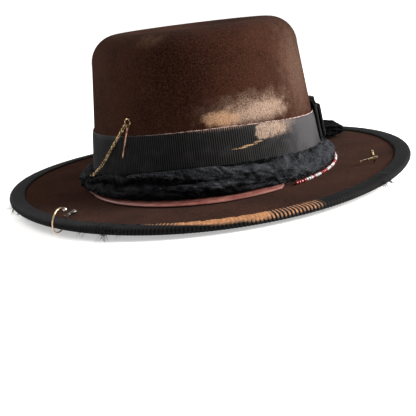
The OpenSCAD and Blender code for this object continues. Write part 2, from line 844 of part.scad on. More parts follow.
lining_low = 22;
// Distance from the wall to the seam between the lining's side and its tip
seam_in = 9;
// How far below the shoulder the lining turns in
turn_drop = 4;
function seam_d(t) = inner_wall(t, shoulder_z) - seam_in;

module lining_side() {
    seam_z = tip_z - piping_d / 2 - lay_gap;
    turn_z = shoulder_z - turn_drop;
    color([0.12, 0.1, 0.1]) loop_skin([
        ring(function(t) lining_face(t, lining_low) - lining_t, function(t) lining_low),
        ring(function(t) lining_face(t, lining_low), function(t) lining_low),
        ring(function(t) lining_face(t, turn_z), function(t) turn_z),
        ring(function(t) seam_d(t) + 0.3, function(t) seam_z),
        ring(function(t) seam_d(t) - lining_t, function(t) seam_z),
        ring(function(t) lining_face(t, turn_z) - lining_t, function(t) turn_z)
    ]);
}

module lining_piping() {
    r = piping_d / 2;
    color([0.5, 0.38, 0.2]) loop_skin([
        for (q = [0:60:300])
            ring(function(t) seam_d(t) + r * sin(q), function(t) tip_z - r * cos(q))
    ]);
}

module lining_tip() {
    rim = function(t) seam_d(t) - piping_d / 2 - lay_gap;
    color([0.14, 0.11, 0.1]) dome_skin(
        [
            ring(rim, function(t) tip_z + lining_t / 2),
            ring(rim, function(t) tip_z - lining_t / 2)
        ],
        [0, 0, tip_z + lining_t / 2], [0, 0, tip_z - lining_t / 2]);
}

felt_body();
brim_binding();
binding_stitches();
hat_band();
band_edge_cord();
bow_long_loops();
bow_short_loops();
bow_knot();
rag_wrap();
rag_tail();
leather_strap();
bead_thread();
red_beads();
white_beads();
chain_links();
chain_hook();
chain_anchor_ring();
hanging_bar();
hoop_ring();
hoop_ball();
charm_bail();
tube_charm();
cross_pin();
pin_clutch();
sweatband();
sweatband_reed();
sweatband_stitches();
sweatband_bow();
lining_side();
lining_tip();
lining_piping();
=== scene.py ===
import bpy
import bmesh
import json
import itertools
import math
import numpy as np
from mathutils import Matrix, Vector

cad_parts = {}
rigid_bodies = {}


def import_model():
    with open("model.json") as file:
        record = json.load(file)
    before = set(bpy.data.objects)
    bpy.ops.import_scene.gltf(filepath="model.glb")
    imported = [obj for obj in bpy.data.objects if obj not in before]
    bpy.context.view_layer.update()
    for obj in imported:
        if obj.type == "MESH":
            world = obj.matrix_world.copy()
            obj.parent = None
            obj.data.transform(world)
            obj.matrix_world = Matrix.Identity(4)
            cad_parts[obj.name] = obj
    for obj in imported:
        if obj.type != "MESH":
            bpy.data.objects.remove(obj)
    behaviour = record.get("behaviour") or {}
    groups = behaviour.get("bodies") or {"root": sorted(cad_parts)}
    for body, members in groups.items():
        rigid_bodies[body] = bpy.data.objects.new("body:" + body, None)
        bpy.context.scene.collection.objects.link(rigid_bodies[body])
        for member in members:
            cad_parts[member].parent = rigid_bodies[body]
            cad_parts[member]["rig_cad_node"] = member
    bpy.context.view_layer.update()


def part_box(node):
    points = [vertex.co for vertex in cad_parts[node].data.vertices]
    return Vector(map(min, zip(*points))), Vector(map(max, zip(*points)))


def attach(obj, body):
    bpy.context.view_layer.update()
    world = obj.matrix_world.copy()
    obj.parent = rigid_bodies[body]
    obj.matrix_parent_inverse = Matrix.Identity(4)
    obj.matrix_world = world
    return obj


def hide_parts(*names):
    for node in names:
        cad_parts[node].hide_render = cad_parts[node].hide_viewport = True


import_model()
mm = 0.001
chance = np.random.default_rng(19)
print("frame loaded")

# camera first: it stands where the hat was looked at from
view = {
    "eye": (-31.3, -600.6, 124.6),
    "right": (0.990, -0.076, -0.121),
    "up": (0.136, 0.241, 0.961),
    "lens": 68.3,
    "sensor": 36,
}


def addCamera():
    right = Vector(view["right"]).normalized()
    up = Vector(view["up"])
    up = (up - right * up.dot(right)).normalized()
    back = right.cross(up)
    data = bpy.data.cameras.new("camera")
    data.sensor_width = view["sensor"]
    data.lens = view["lens"]
    data.clip_start = 0.01
    cam = bpy.data.objects.new("camera", data)
    turn = Matrix((right, up, back)).transposed().to_4x4()
    cam.matrix_world = Matrix.Translation(Vector(view["eye"]) * mm) @ turn
    bpy.context.collection.objects.link(cam)
    bpy.context.scene.camera = cam


addCamera()

# ---- the hat's shape, the same as the solids': t runs round it from the front, millimetres ----
hat = {
    "halfWide": 85, "halfLong": 100.5, "high": 111, "felt": 2.5, "shoulder": 21,
    "leanSide": 7, "leanEnd": 5, "dish": 3.5, "dishSlope": 14,
    "brim": 62.5, "lift": 1.4, "curl": 2.2, "breakRound": 3, "gap": 0.2,
}
edgeOff = hat["felt"] + hat["brim"]


def outDir(t):
    v = np.stack([hat["halfLong"] * np.sin(t), -hat["halfWide"] * np.cos(t)], -1)
    return v / np.linalg.norm(v, axis=-1, keepdims=True)


def hatPoint(t, off, z):
    t, off, z = np.broadcast_arrays(t, off, z)
    n = outDir(t)
    x = hat["halfWide"] * np.sin(t) + n[..., 0] * off
    y = -hat["halfLong"] * np.cos(t) + n[..., 1] * off
    return np.stack([x, y, z], -1).astype(float)


def lean(t):
    side, end = (math.tan(math.radians(hat[k])) for k in ("leanSide", "leanEnd"))
    return side * np.sin(t) ** 2 + end * np.cos(t) ** 2


def outerWall(t, z):
    return hat["felt"] - z * lean(t)


def brimUnder(t, off):
    share = np.maximum(0, (np.minimum(off, edgeOff) - hat["felt"]) / hat["brim"])
    return (hat["lift"] - hat["curl"] * np.cos(2 * t)) * share ** 1.5


def brimTop(t, off):
    return hat["felt"] + brimUnder(t, off)


def wallFrame(t, z, off):
    # x away from the crown's wall, z up its slope
    n = outDir(np.array(t))
    turn = Matrix.Rotation(math.atan2(n[1], n[0]), 4, "Z")
    tip = Matrix.Rotation(-math.atan(float(lean(t))), 4, "Y")
    foot = Vector(hatPoint(t, outerWall(t, z), z))
    return Matrix.Translation(foot) @ turn @ tip @ Matrix.Translation((off, 0, 0))


def brimFrame(t, off, lift):
    # x out of the hat, z up
    n = outDir(np.array(t))
    turn = Matrix.Rotation(math.atan2(n[1], n[0]), 4, "Z")
    return Matrix.Translation(Vector(hatPoint(t, off, brimTop(t, off) + lift))) @ turn


def moved(points, place):
    m = np.array(place)
    return np.asarray(points) @ m[:3, :3].T + m[:3, 3]


def ovalRound(halfWide, halfLong):
    return 2 * math.pi * math.sqrt((halfWide ** 2 + halfLong ** 2) / 2)


def softNoise(points, size, seed=0):
    # smooth noise from -1 to 1, with lumps about size across
    q = np.asarray(points, float) / size + seed * 13.7
    low = np.floor(q)
    f = q - low
    f = f * f * (3 - 2 * f)
    total = 0
    for corner in itertools.product((0, 1), repeat=3):
        c = low + corner
        h = np.sin(c @ np.array([127.1, 311.7, 74.7])) * 43758.5453
        w = np.prod(np.where(corner, f, 1 - f), -1)
        total = total + (h - np.floor(h)) * w
    return total * 2 - 1


def bellAt(t, middle, width):
    # 1 at the middle, fading over width; t and both in degrees
    away = (np.degrees(t) - middle + 180) % 360 - 180
    return np.exp(-(away / width) ** 2)


# ---- mesh helpers ----


def finishPiece(piece, paint, body, stands):
    piece.data.materials.append(paint)
    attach(piece, body)
    if stands:
        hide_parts(*stands)
    return piece


def meshPiece(name, points, faces, paint, slot, body="hat", stands=(), smooth=True, marks=None):
    mesh = bpy.data.meshes.new(name)
    mesh.from_pydata((np.asarray(points, float) * mm).tolist(), [], [list(f) for f in faces])
    mesh.polygons.foreach_set("use_smooth", [smooth] * len(mesh.polygons))
    for key, values in (marks or {}).items():
        layer = mesh.attributes.new(key, "FLOAT", "POINT")
        layer.data.foreach_set("value", np.asarray(values, np.float32).ravel())
    piece = bpy.data.objects.new(name, mesh)
    bpy.context.collection.objects.link(piece)
    return finishPiece(piece, paint, body, stands)


def gridFaces(rows, cols, aroundClosed, acrossClosed, start=0):
    idx = np.arange(rows * cols).reshape(rows, cols) + start
    if aroundClosed:
        idx = np.hstack([idx, idx[:, :1]])
    if acrossClosed:
        idx = np.vstack([idx, idx[:1]])
    return np.stack([idx[:-1, :-1], idx[:-1, 1:], idx[1:, 1:], idx[1:, :-1]], -1).reshape(-1, 4)


def gridPiece(name, grid, paint, slot, around=True, across=False, weld=False, **more):
    rows, cols = grid.shape[:2]
    piece = meshPiece(name, grid.reshape(-1, 3), gridFaces(rows, cols, around, across), paint, slot, **more)
    if weld:
        work = bmesh.new()
        work.from_mesh(piece.data)
        bmesh.ops.remove_doubles(work, verts=work.verts, dist=1e-7)
        work.to_mesh(piece.data)
        work.free()
    return piece


def tubeGrid(line, radius, sides, side=(0, 0, 1)):
    # rings of points round a line; radius is one number or one for each point
    line = np.asarray(line, float)
    ahead = np.gradient(line, axis=0)
    ahead /= np.linalg.norm(ahead, axis=1, keepdims=True)
    a = np.cross(ahead, np.asarray(side, float))
    a /= np.maximum(np.linalg.norm(a, axis=1, keepdims=True), 1e-9)
    b = np.cross(a, ahead)
    q = np.arange(sides) * 2 * np.pi / sides
    r = np.broadcast_to(radius, len(line))[:, None, None]
    ring = np.cos(q)[None, :, None] * a[:, None] + np.sin(q)[None, :, None] * b[:, None]
    return line[:, None] + r * ring


class Bundle:
    # gathers many small tubes into one mesh
    def __init__(self):
        self.points, self.faces, self.count = [], [], 0

    def addGrid(self, grid, acrossClosed=False, aroundClosed=True):
        rows, cols = grid.shape[:2]
        self.points.append(grid.reshape(-1, 3))
        self.faces.append(gridFaces(rows, cols, aroundClosed, acrossClosed, self.count))
        self.count += rows * cols

    def piece(self, name, paint, slot, **more):
        return meshPiece(name, np.vstack(self.points), np.vstack(self.faces), paint, slot, **more)


def hairs(bundle, roots, ways, lengths, thick=0.14, curl=0.35, droop=0.25, steps=5):
    for root, way, long in zip(roots, ways, lengths):
        way = way / np.linalg.norm(way)
        bend = np.cross(way, chance.normal(size=3)) * curl + np.array([0, 0, -droop])
        s = np.linspace(0, 1, steps)[:, None]
        line = root + long * (s * way + s * s * bend * 0.5)
        radius = thick / 2 * (1 - 0.6 * s[:, 0])
        bundle.addGrid(tubeGrid(line, radius, 3, side=(0.31, 0.52, 0.8)))


def solidify(piece, thick, offset=-1):
    coat = piece.modifiers.new("thickness", "SOLIDIFY")
    coat.thickness = thick * mm
    coat.offset = offset
    return piece


# ---- material helpers ----


class Paint:
    def __init__(self, name, **fixed):
        self.material = bpy.data.materials.new(name)
        self.material.use_nodes = True
        self.tree = self.material.node_tree
        self.shader = self.tree.nodes["Principled BSDF"]
        for key, value in fixed.items():
            self.shader.inputs[key.replace("_", " ")].default_value = value

    def wire(self, value, socket):
        if isinstance(value, bpy.types.NodeSocket):
            self.tree.links.new(value, socket)
        else:
            socket.default_value = value

    def node(self, kind, wires=None, **settings):
        made = self.tree.nodes.new("ShaderNode" + kind)
        for key, value in settings.items():
            setattr(made, key, value)
        for key, value in (wires or {}).items():
            self.wire(value, made.inputs[key])
        return made

    def place(self, stretch=(1, 1, 1)):
        # the spot's own place in millimetres
        at = self.node("TexCoord").outputs["Object"]
        scale = tuple(1000 * s for s in stretch)
        return self.node("VectorMath", {0: at, 1: scale}, operation="MULTIPLY").outputs[0]

    def mark(self, key):
        return self.node("Attribute", attribute_name=key).outputs["Fac"]

    def noise(self, size, at=None, detail=2.0, rough=0.5, lumpy=0.0):
        at = at or self.place()
        wires = {"Vector": at, "Scale": 1 / size, "Detail": detail, "Roughness": rough, "Distortion": lumpy}
        return self.node("TexNoise", wires).outputs["Fac"]

    def cells(self, size, at=None):
        wires = {"Vector": at or self.place(), "Scale": 1 / size}
        return self.node("TexVoronoi", wires).outputs["Distance"]

    def maths(self, kind, a, b=0.0, clamp=False):
        return self.node("Math", {0: a, 1: b}, operation=kind, use_clamp=clamp).outputs[0]

    def times(self, a, b, clamp=False):
        return self.maths("MULTIPLY", a, b, clamp)

    def span(self, value, low, high, a=0.0, b=1.0):
        wires = {"Value": value, "From Min": low, "From Max": high, "To Min": a, "To Max": b}
        return self.node("MapRange", wires, interpolation_type="SMOOTHSTEP").outputs[0]

    def mix(self, share, a, b, kind="MIX"):
        made = self.node("Mix", data_type="RGBA", blend_type=kind)
        for value, at in ((share, 0), (a, 6), (b, 7)):
            if isinstance(value, tuple) and len(value) == 3:
                value = (*value, 1)
            self.wire(value, made.inputs[at])
        return made.outputs[2]

    def spot(self, at, middle, radii, turn=0.0, ragged=0.0, raggedSize=6.0, soft=0.5):
        # 1 inside an egg-shaped patch, fading to 0 outside it
        away = self.node("VectorMath", {0: at, 1: tuple(middle)}, operation="SUBTRACT").outputs[0]
        if turn:
            spin = self.node("VectorRotate", {"Vector": away, "Angle": -turn}, rotation_type="Z_AXIS")
            away = spin.outputs[0]
        away = self.node("VectorMath", {0: away, 1: tuple(radii)}, operation="DIVIDE").outputs[0]
        far = self.node("VectorMath", {0: away}, operation="LENGTH").outputs["Value"]
        if ragged:
            wobble = self.span(self.noise(raggedSize, detail=3), 0.2, 0.8, -1, 1)
            far = self.maths("ADD", far, self.times(wobble, ragged))
        return self.span(far, 1 - soft, 1 + soft, 1.0, 0.0)

    def bump(self, height, deep, strength=1.0, under=None):
        wires = {"Height": height, "Distance": deep * mm, "Strength": strength}
        if under:
            wires["Normal"] = under
        return self.node("Bump", wires).outputs[0]

    def finish(self, colour, rough=None, normal=None):
        self.wire(colour, self.shader.inputs["Base Color"])
        if rough is not None:
            self.wire(rough, self.shader.inputs["Roughness"])
        if normal is not None:
            self.wire(normal, self.shader.inputs["Normal"])
        return self.material


deg = math.radians

# ---- felt ----
felt = {
    "dark": (0.011, 0.0035, 0.0018),
    "main": (0.026, 0.0095, 0.0052),
    "lit": (0.074, 0.031, 0.020),
    "rubbed": (0.31, 0.215, 0.16),
    "goldenWearAndHighlight": (0.42, 0.245, 0.14),
    "around": 360,
}


def feltPaint():
    p = Paint("felt", Roughness=0.95, Sheen_Weight=0.02, Sheen_Roughness=0.5, Specular_IOR_Level=0.0)
    at = p.place()
    broad = p.span(p.noise(38, at, 3), 0.32, 0.7)
    colour = p.mix(broad, felt["dark"], felt["main"])
    grain = p.span(p.noise(0.85, at, 3, 0.75), 0.4, 0.68)
    colour = p.mix(p.times(grain, 0.55), colour, felt["lit"])
    # the rubbed patch over the band; the pale shoulder, which is a painted highlight; and a painted highlight
    # over the crown's right side
    speck = p.span(p.noise(0.75, at, 3, 0.7), 0.36, 0.62)

    def onWall(t, z):
        return hatPoint(deg(t), outerWall(deg(t), z), z)

    def patch(t, z, radii, turn, soft, ragged=0.3):
        return p.spot(at, onWall(t, z), radii, deg(turn), ragged, 5.0, soft)

    wide = patch(24, 56, (31, 12, 8.5), 14, 0.75)
    pale = patch(25, 53.5, (28, 10, 5.8), 13, 0.6)
    gold = patch(5, 52.5, (10, 7, 4.4), 2, 0.6)
    # shoulder: a painted highlight, golden tan on the crown's front-left shoulder
    shoulder = p.spot(at, onWall(-27, 107), (9, 10, 4), 0.0, 0.35, 5.0, 0.8)
    # edge: a painted highlight, the crown's right side lightened towards the rubbed colour through speckle
    edge = patch(58, 74, (20, 30, 26), 50, 0.9)
    half = p.times(speck, 0.5)
    colour = p.mix(p.times(wide, half), colour, felt["rubbed"])
    # the painted highlight on the crown's right side
    colour = p.mix(p.times(edge, p.times(speck, 0.22)), colour, felt["rubbed"])
    # the painted highlight on the shoulder; the same golden colour is also the real wear patch over the band
    colour = p.mix(p.times(shoulder, p.times(speck, 0.2)), colour, felt["goldenWearAndHighlight"])
    thick = p.span(speck, 0.0, 1.0, 0.35, 0.95)
    colour = p.mix(p.times(pale, thick), colour, felt["rubbed"])
    colour = p.mix(p.times(gold, thick), colour, felt["goldenWearAndHighlight"])
    # cuts and a pin hole in the brim
    for place, radii, turn in (
        ((-124, -64.5, 2.8), (5.5, 0.55, 3), -36), ((-116.5, -79, 2.8), (4.2, 0.5, 3), -44),
        ((-134, -55, 2.8), (0.9, 0.7, 3), 0), ((101, -84, 2.8), (2.6, 0.4, 3), 15),
    ):
        cut = p.spot(at, place, radii, deg(turn), 0.25, 1.5, 0.35)
        colour = p.mix(cut, colour, (0.006, 0.005, 0.005))
    fuzz = p.noise(0.55, p.place((1, 1, 1.3)), 4, 0.7)
    normal = p.bump(fuzz, 0.6, 0.8, p.bump(p.noise(7, at, 2), 1.2, 0.3))
    return p.finish(colour, None, normal)


def crownLine(t, inside):
    # offset and height of the crown's skin from the middle of its top to the shoulder's foot
    drop = inside * hat["felt"]
    shoulderZ = hat["high"] - hat["shoulder"]
    middle = outerWall(t, shoulderZ) - hat["shoulder"]
    rim, floor = middle - 3, middle - 3 - hat["dishSlope"]
    out = [(floor - 16, hat["high"] - hat["dish"] + 0.8 - drop)]
    for k in np.linspace(0, 1, 9):
        ease = k * k * (3 - 2 * k)
        out.append((floor + (rim - floor) * k, hat["high"] - hat["dish"] * (1 - ease) - drop - 0.3 * ease))
    arc = hat["shoulder"] - drop
    for q in np.radians(np.linspace(84, 0, 13)):
        out.append((middle + arc * np.cos(q), shoulderZ + arc * np.sin(q) + 0 * t))
    return out


def feltGrid():
    t = np.arange(felt["around"]) * 2 * np.pi / felt["around"]
    lines = []

    def addLine(pairs):
        lines.extend(hatPoint(t, off, z) for off, z in pairs)

    def addDome(pairs, flip):
        rings = [hatPoint(t, off, z) for off, z in pairs]
        top = np.array([0, 0, pairs[0][1] + 0.2])
        heart = [top + (rings[0] - top) * k for k in (0, 0.04, 0.2, 0.45, 0.7, 0.88)]
        lines.extend((heart + rings)[::-1] if flip else heart + rings)

    addDome(crownLine(t, 0), False)
    shoulderZ = hat["high"] - hat["shoulder"]
    breakZ = hat["felt"] + hat["breakRound"]
    addLine([(outerWall(t, z), z) for z in np.linspace(shoulderZ, breakZ, 26)[1:]])
    foot = outerWall(t, breakZ)
    for q in np.radians((22, 45, 68, 90)):
        out, up = (hat["breakRound"] * (1 - k) for k in (np.cos(q), np.sin(q)))
        addLine([(foot + out, hat["felt"] + up)])
    start = hat["felt"] + hat["breakRound"]
    across = np.linspace(start, edgeOff, 20)[1:]
    addLine([(d, brimTop(t, d)) for d in across])
    addLine([(edgeOff + 0.05, brimTop(t, edgeOff) - hat["felt"] / 2)])
    addLine([(d, brimUnder(t, d)) for d in across[::-1]])
    addLine([(1.5, 0 * t), (-1.5 * lean(t), 1.5 + 0 * t)])
    addLine([(-z * lean(t), z) for z in np.linspace(8, shoulderZ, 20)])
    addDome(crownLine(t, 1)[:-1], True)
    grid = np.array(lines)
    # hand-blocked felt is never quite even; the brim's edge stays true inside its binding
    calm = np.clip((np.hypot(grid[..., 0] / 150, grid[..., 1] / 166) - 0.62) / 0.25, 0, 1)
    sway = softNoise(grid, 34, 1) * 0.28 * (1 - calm)
    away = grid * np.array([1, 1, 0])
    away /= np.maximum(np.linalg.norm(away, axis=-1, keepdims=True), 1)
    return grid + away * sway[..., None]


gridPiece("feltShape", feltGrid(), feltPaint(), "felt", weld=True, stands=("felt_body",))
print("felt done")

# ---- ribbed ribbon: fine ribs run across its width, in the mesh itself ----
ribbon = {"pitch": 1.62, "deep": 0.2, "perRib": 4}


def ribColumns(length, pitch=ribbon["pitch"]):
    ribs = int(round(length / pitch))
    cols = ribs * ribbon["perRib"]
    phase = np.arange(cols) % ribbon["perRib"] / ribbon["perRib"]
    high = 0.5 - 0.5 * np.cos(2 * np.pi * phase)
    return cols, high


def ribbonPaint(name, dark, light, sheen=0.03, worn=None):
    p = Paint(name, Roughness=0.7, Sheen_Weight=sheen, Sheen_Roughness=0.4, Specular_IOR_Level=0.04)
    at = p.place()
    ridge = p.mark("ridge")
    # painted shade: the ribs' crests are painted lighter and the hollows between them darker
    colour = p.mix(p.span(ridge, 0.1, 0.9), dark, light)
    dusty = p.times(p.span(p.noise(9, at, 3), 0.45, 0.75), 0.3)
    colour = p.mix(dusty, colour, tuple(1.6 * c + 0.001 for c in light))
    fibre = p.noise(0.35, p.place((1, 1, 0.5)), 3, 0.7)
    colour = p.mix(p.times(p.span(fibre, 0.4, 0.7), 0.35), colour, tuple(0.4 * c for c in dark))
    normal = p.bump(fibre, 0.12, 0.5)
    if worn:
        colour = worn(p, at, ridge, colour)
    return p.finish(colour, p.span(fibre, 0.3, 0.7, 0.6, 0.85), normal)


# ---- binding round the brim's edge ----
binding = {
    "wide": 10, "thick": 0.7, "across": 11, "pitch": 2.4,
    "dark": (0.0022, 0.0022, 0.0025), "light": (0.0105, 0.0105, 0.011),
    "copper": (0.33, 0.155, 0.072), "tan": (0.26, 0.15, 0.095),
    "oval": (150, 165.5), "wornFrom": -20, "wornTo": 21.5, "smoothTo": 9.5,
    "laps": ((43.5, 2.6, 0.9), (-31, 3.2, 0.7), (-27.5, 1.2, 0.5)),
    "flat": (0.985, 0.0225),
}


def bindingWorn(p, at, ridge, colour):
    worn = p.mark("worn")
    rub = p.span(p.noise(0.8, at, 3, 0.65), 0.3, 0.62)
    # where it is rubbed least only the ribs' tops show the tan thread
    tops = p.span(p.maths("ADD", ridge, p.times(p.mark("smoothed"), 1.2)), 0.35, 0.75)
    share = p.times(worn, p.times(tops, p.span(rub, 0, 1, 0.6, 1.0)), clamp=True)
    tone = p.mix(p.mark("smoothed"), binding["tan"], binding["copper"])
    tone = p.mix(p.span(p.noise(2.6, at, 3), 0.4, 0.7), tone, tuple(1.5 * c for c in binding["copper"]))
    return p.mix(share, colour, tone)


def bindingSway(t):
    # the ribbon's slow wave, and the lumps where it laps over itself
    spots = np.stack([np.cos(t) * 150, np.sin(t) * 150, 0 * t], -1)
    lump = sum(high * bellAt(t, place, wide) for place, wide, high in binding["laps"])
    return softNoise(spots, 9, 2), lump * (0.65 + 0.6 * softNoise(spots, 2.2, 3))


def bindingGrid():
    cols, high = ribColumns(ovalRound(*binding["oval"]), binding["pitch"])
    t = np.arange(cols) * 2 * np.pi / cols
    wave, lump = bindingSway(t)
    rib = high * ribbon["deep"]
    skin = hat["gap"] + binding["thick"]
    inner = edgeOff - binding["wide"] + 0.35 * wave
    rows, across = [], []
    shares = np.linspace(0, 1, binding["across"])
    for s in shares:  # over the top, from the inner edge outwards
        d = inner + (edgeOff - 1.2 - inner) * s
        puff = 0.25 * np.sin(np.pi * s) * (1 + 0.6 * wave)
        sink = 0.3 if s == 0 else 0
        rows.append(hatPoint(t, d, brimTop(t, d) + skin + puff + rib + lump * (0.4 + s) - sink))
        across.append(s)
    for q in np.radians((35, 65, 90, 115, 145)):  # round the edge
        reach = 1.35 + lump * 0.5
        d = edgeOff - 1.2 + (skin + reach) * np.sin(q)
        z = brimUnder(t, edgeOff) + hat["felt"] / 2 + (hat["felt"] / 2 + skin + rib) * np.cos(q)
        rows.append(hatPoint(t, d + rib * np.sin(q) - 0.15, z))
        across.append(1 + q / np.pi)
    for s in shares[::-1][::2]:  # back along the underside
        d = inner + (edgeOff - 1.2 - inner) * s
        rows.append(hatPoint(t, d, brimUnder(t, d) - skin - rib))
        across.append(2.2)
    for s in (0.0, 1.0):  # the hidden face against the felt
        d = inner + (edgeOff - inner) * s
        rows.append(hatPoint(t, d, brimUnder(t, d) - hat["gap"]))
        across.append(2.2)
    rows.append(hatPoint(t, edgeOff + 0.12, brimTop(t, edgeOff)))
    rows.append(hatPoint(t, inner, brimTop(t, inner) + hat["gap"]))
    across += [2.2, 2.2]
    grid, across = np.array(rows), np.array(across)[:, None]
    tDeg = (np.degrees(t) + 180) % 360 - 180
    along = np.clip((tDeg - binding["wornFrom"]) / 3, 0, 1) * np.clip((binding["wornTo"] - tDeg) / 1.5, 0, 1)
    reach = np.interp(tDeg, (-20, -12, -4, 10, 22), (0.35, 0.6, 1.2, 1.42, 1.38))
    worn = along * np.clip((reach - across) / 0.18 + 0.5 + 0.5 * wave, 0, 1) * (across < 1.9)
    smoothed = np.clip((binding["smoothTo"] - tDeg) / 1.5, 0, 1) * np.clip((tDeg + 14) / 8, 0, 1) + 0 * across
    ridge = high + 0 * across
    return grid, {"ridge": ridge, "worn": worn, "smoothed": smoothed * np.clip(1.6 - across, 0, 1)}


grid, marks = bindingGrid()
bindingPaint = ribbonPaint("bindingRibbon", binding["dark"], binding["light"], 0.01, bindingWorn)
bindingCloth = gridPiece(
    "brimRibbon", grid, bindingPaint, "binding_ribbon", across=True, stands=("brim_binding",), marks=marks)


def threadPaint(name, dark, light, size=0.5):
    p = Paint(name, Roughness=0.75, Sheen_Weight=0.03, Specular_IOR_Level=0.1)
    twist = p.noise(size, p.place((1, 1, 2)), 2)
    return p.finish(p.mix(p.span(twist, 0.35, 0.65), dark, light), None, p.bump(twist, 0.1, 0.5))


stitches = {"count": 96, "inset": 1.5, "long": 3.4, "thick": 0.5, "arch": 0.22}
blackThread = threadPaint("blackThread", (0.0025, 0.0025, 0.0025), (0.014, 0.014, 0.014))


def addBindingStitches():
    bundle = Bundle()
    d = edgeOff - binding["wide"] + stitches["inset"]
    for i in range(stitches["count"]):
        middle = (i + 0.5) * 2 * np.pi / stitches["count"]
        half = stitches["long"] / 2 / 155
        t = middle + np.linspace(-half, half, 7)
        s = np.linspace(-1, 1, 7)
        lift = binding["thick"] + 0.42 + stitches["arch"] * (1 - s * s) - 0.5 * s ** 6
        drift = d + 0.25 * chance.normal()
        line = hatPoint(t, drift, brimTop(t, drift) + lift)
        bundle.addGrid(tubeGrid(line, stitches["thick"] / 2, 6))
    bundle.piece("bindingStitching", blackThread, "black_thread", stands=("binding_stitches",))


addBindingStitches()

frays = {
    # angle, how many threads, how long
    "tufts": (
        (-111, 16, 4.8), (-107, 9, 3.0), (-68.5, 14, 4.6), (-62.5, 10, 3.4), (-33.5, 12, 3.6),
        (-27.5, 24, 5.6), (-24, 9, 3.2), (40.5, 20, 4.8),
        (44, 16, 4.2), (19.5, 7, 2.6), (110, 9, 3.2), (84, 3, 2), (160, 6, 3),
        (-150, 6, 3), (-130, 4, 2.4), (200, 5, 3), (-50, 3, 1.8), (-45, 3, 2),
    ),
    "stray": 210,
    "thick": 0.3,
}


def addEdgeFrays():
    bundle = Bundle()
    for middle, count, long in frays["tufts"]:
        t = deg(middle) + chance.normal(size=count) * 0.008
        z = brimUnder(t, edgeOff) + chance.uniform(-0.4, 2.6, count)
        roots = hatPoint(t, edgeOff + 0.7, z)
        ways = np.concatenate([outDir(t), np.zeros((count, 1))], 1) + chance.normal(size=(count, 3)) * 0.65
        ways[:, 2] -= 0.35
        hairs(bundle, roots, ways, long * chance.uniform(0.5, 1.15, count), frays["thick"], 0.9, 0.3)
    count = frays["stray"]
    t = chance.uniform(-np.pi, np.pi, count)
    roots = hatPoint(t, edgeOff + 0.8, brimUnder(t, edgeOff) + chance.uniform(-0.5, 2.8, count))
    ways = np.concatenate([outDir(t), np.zeros((count, 1))], 1) + chance.normal(size=(count, 3)) * 0.8
    hairs(bundle, roots, ways, chance.uniform(0.6, 1.7, count), 0.13, 0.9, 0.2)
    # threads that lie over the laps
    for middle, _, high in binding["laps"]:
        count = 16
        t = deg(middle) + chance.normal(size=count) * 0.014
        d = edgeOff - chance.uniform(1, 9, count)
        roots = hatPoint(t, d, brimTop(t, d) + 1.1 + high)
        ways = chance.normal(size=(count, 3)) * np.array([1, 1, 0.35])
        hairs(bundle, roots, ways, chance.uniform(1, 2.6, count), 0.24, 0.9, 0.5)
    bundle.piece("edgeFrays", blackThread, "black_thread")


addEdgeFrays()
print("binding done")

# ---- hat band ----
band = {
    "wide": 37, "thick": 0.9, "low": 6.5, "lift": 3.5, "dip": 4.5, "across": 12,
    "oval": (84, 100),
    "dark": (0.0010, 0.0010, 0.0010), "light": (0.024, 0.0232, 0.0235),
    "rubbed": (0.31, 0.22, 0.165), "scratch": (0.6, 0.38, 0.2), "litGrey": (0.06, 0.057, 0.06),
    "flat": (0.585, 0.038),
}


def bandLow(t):
    return band["low"] + band["lift"] * (1 + np.cos(2 * t)) / 2


def bandHigh(t):
    return bandLow(t) + band["wide"] - band["dip"] * np.maximum(0, np.sin(t)) ** 1.5


def bandFace(t, z):
    return outerWall(t, z) + hat["gap"] + band["thick"]


def bandWorn(p, at, ridge, colour):
    def onBand(t, z):
        return hatPoint(deg(t), bandFace(deg(t), z), z)

    speck = p.span(p.noise(0.8, at, 3, 0.7), 0.36, 0.62)
    # painted reflection: a grey sheen patch over the band's right side
    litGrey = p.spot(at, onBand(56, 34), (26, 34, 26), deg(55), 0.2, 8.0, 0.7)
    colour = p.mix(p.times(litGrey, 0.75), colour, band["litGrey"])
    # its left end is sharp, where two spots overlap, and it thins out to the right
    pale = p.maths("MAXIMUM", p.spot(at, onBand(23.5, 40.5), (6.5, 6, 5.2), deg(20), 0.2, 3.0, 0.1),
                   p.spot(at, onBand(30, 40.5), (11, 6, 4.6), deg(26), 0.4, 3.0, 0.5))
    haze = p.spot(at, onBand(33, 42), (14, 9, 6), deg(30), 0.3, 4.0, 0.6)
    top = p.spot(at, onBand(12, 48), (34, 14, 2.2), deg(10), 0.3, 3.0, 0.6)
    share = p.times(haze, p.times(speck, 0.45))
    colour = p.mix(share, colour, band["rubbed"])
    colour = p.mix(p.times(pale, p.span(speck, 0, 1, 0.3, 0.85)), colour, band["rubbed"])
    tips = p.times(top, p.span(ridge, 0.5, 1.0))
    colour = p.mix(p.times(tips, 0.65), colour, (0.42, 0.27, 0.21))
    for t, z, long in ((12, 32.3, 5), (16, 33.2, 4.5), (20, 34.3, 3)):  # a scratch that climbs to the right
        mark = p.spot(at, onBand(t, z), (long, 4, 0.42), deg(12), 0.5, 2.0, 0.5)
        colour = p.mix(p.times(mark, speck), colour, band["scratch"])
    return colour


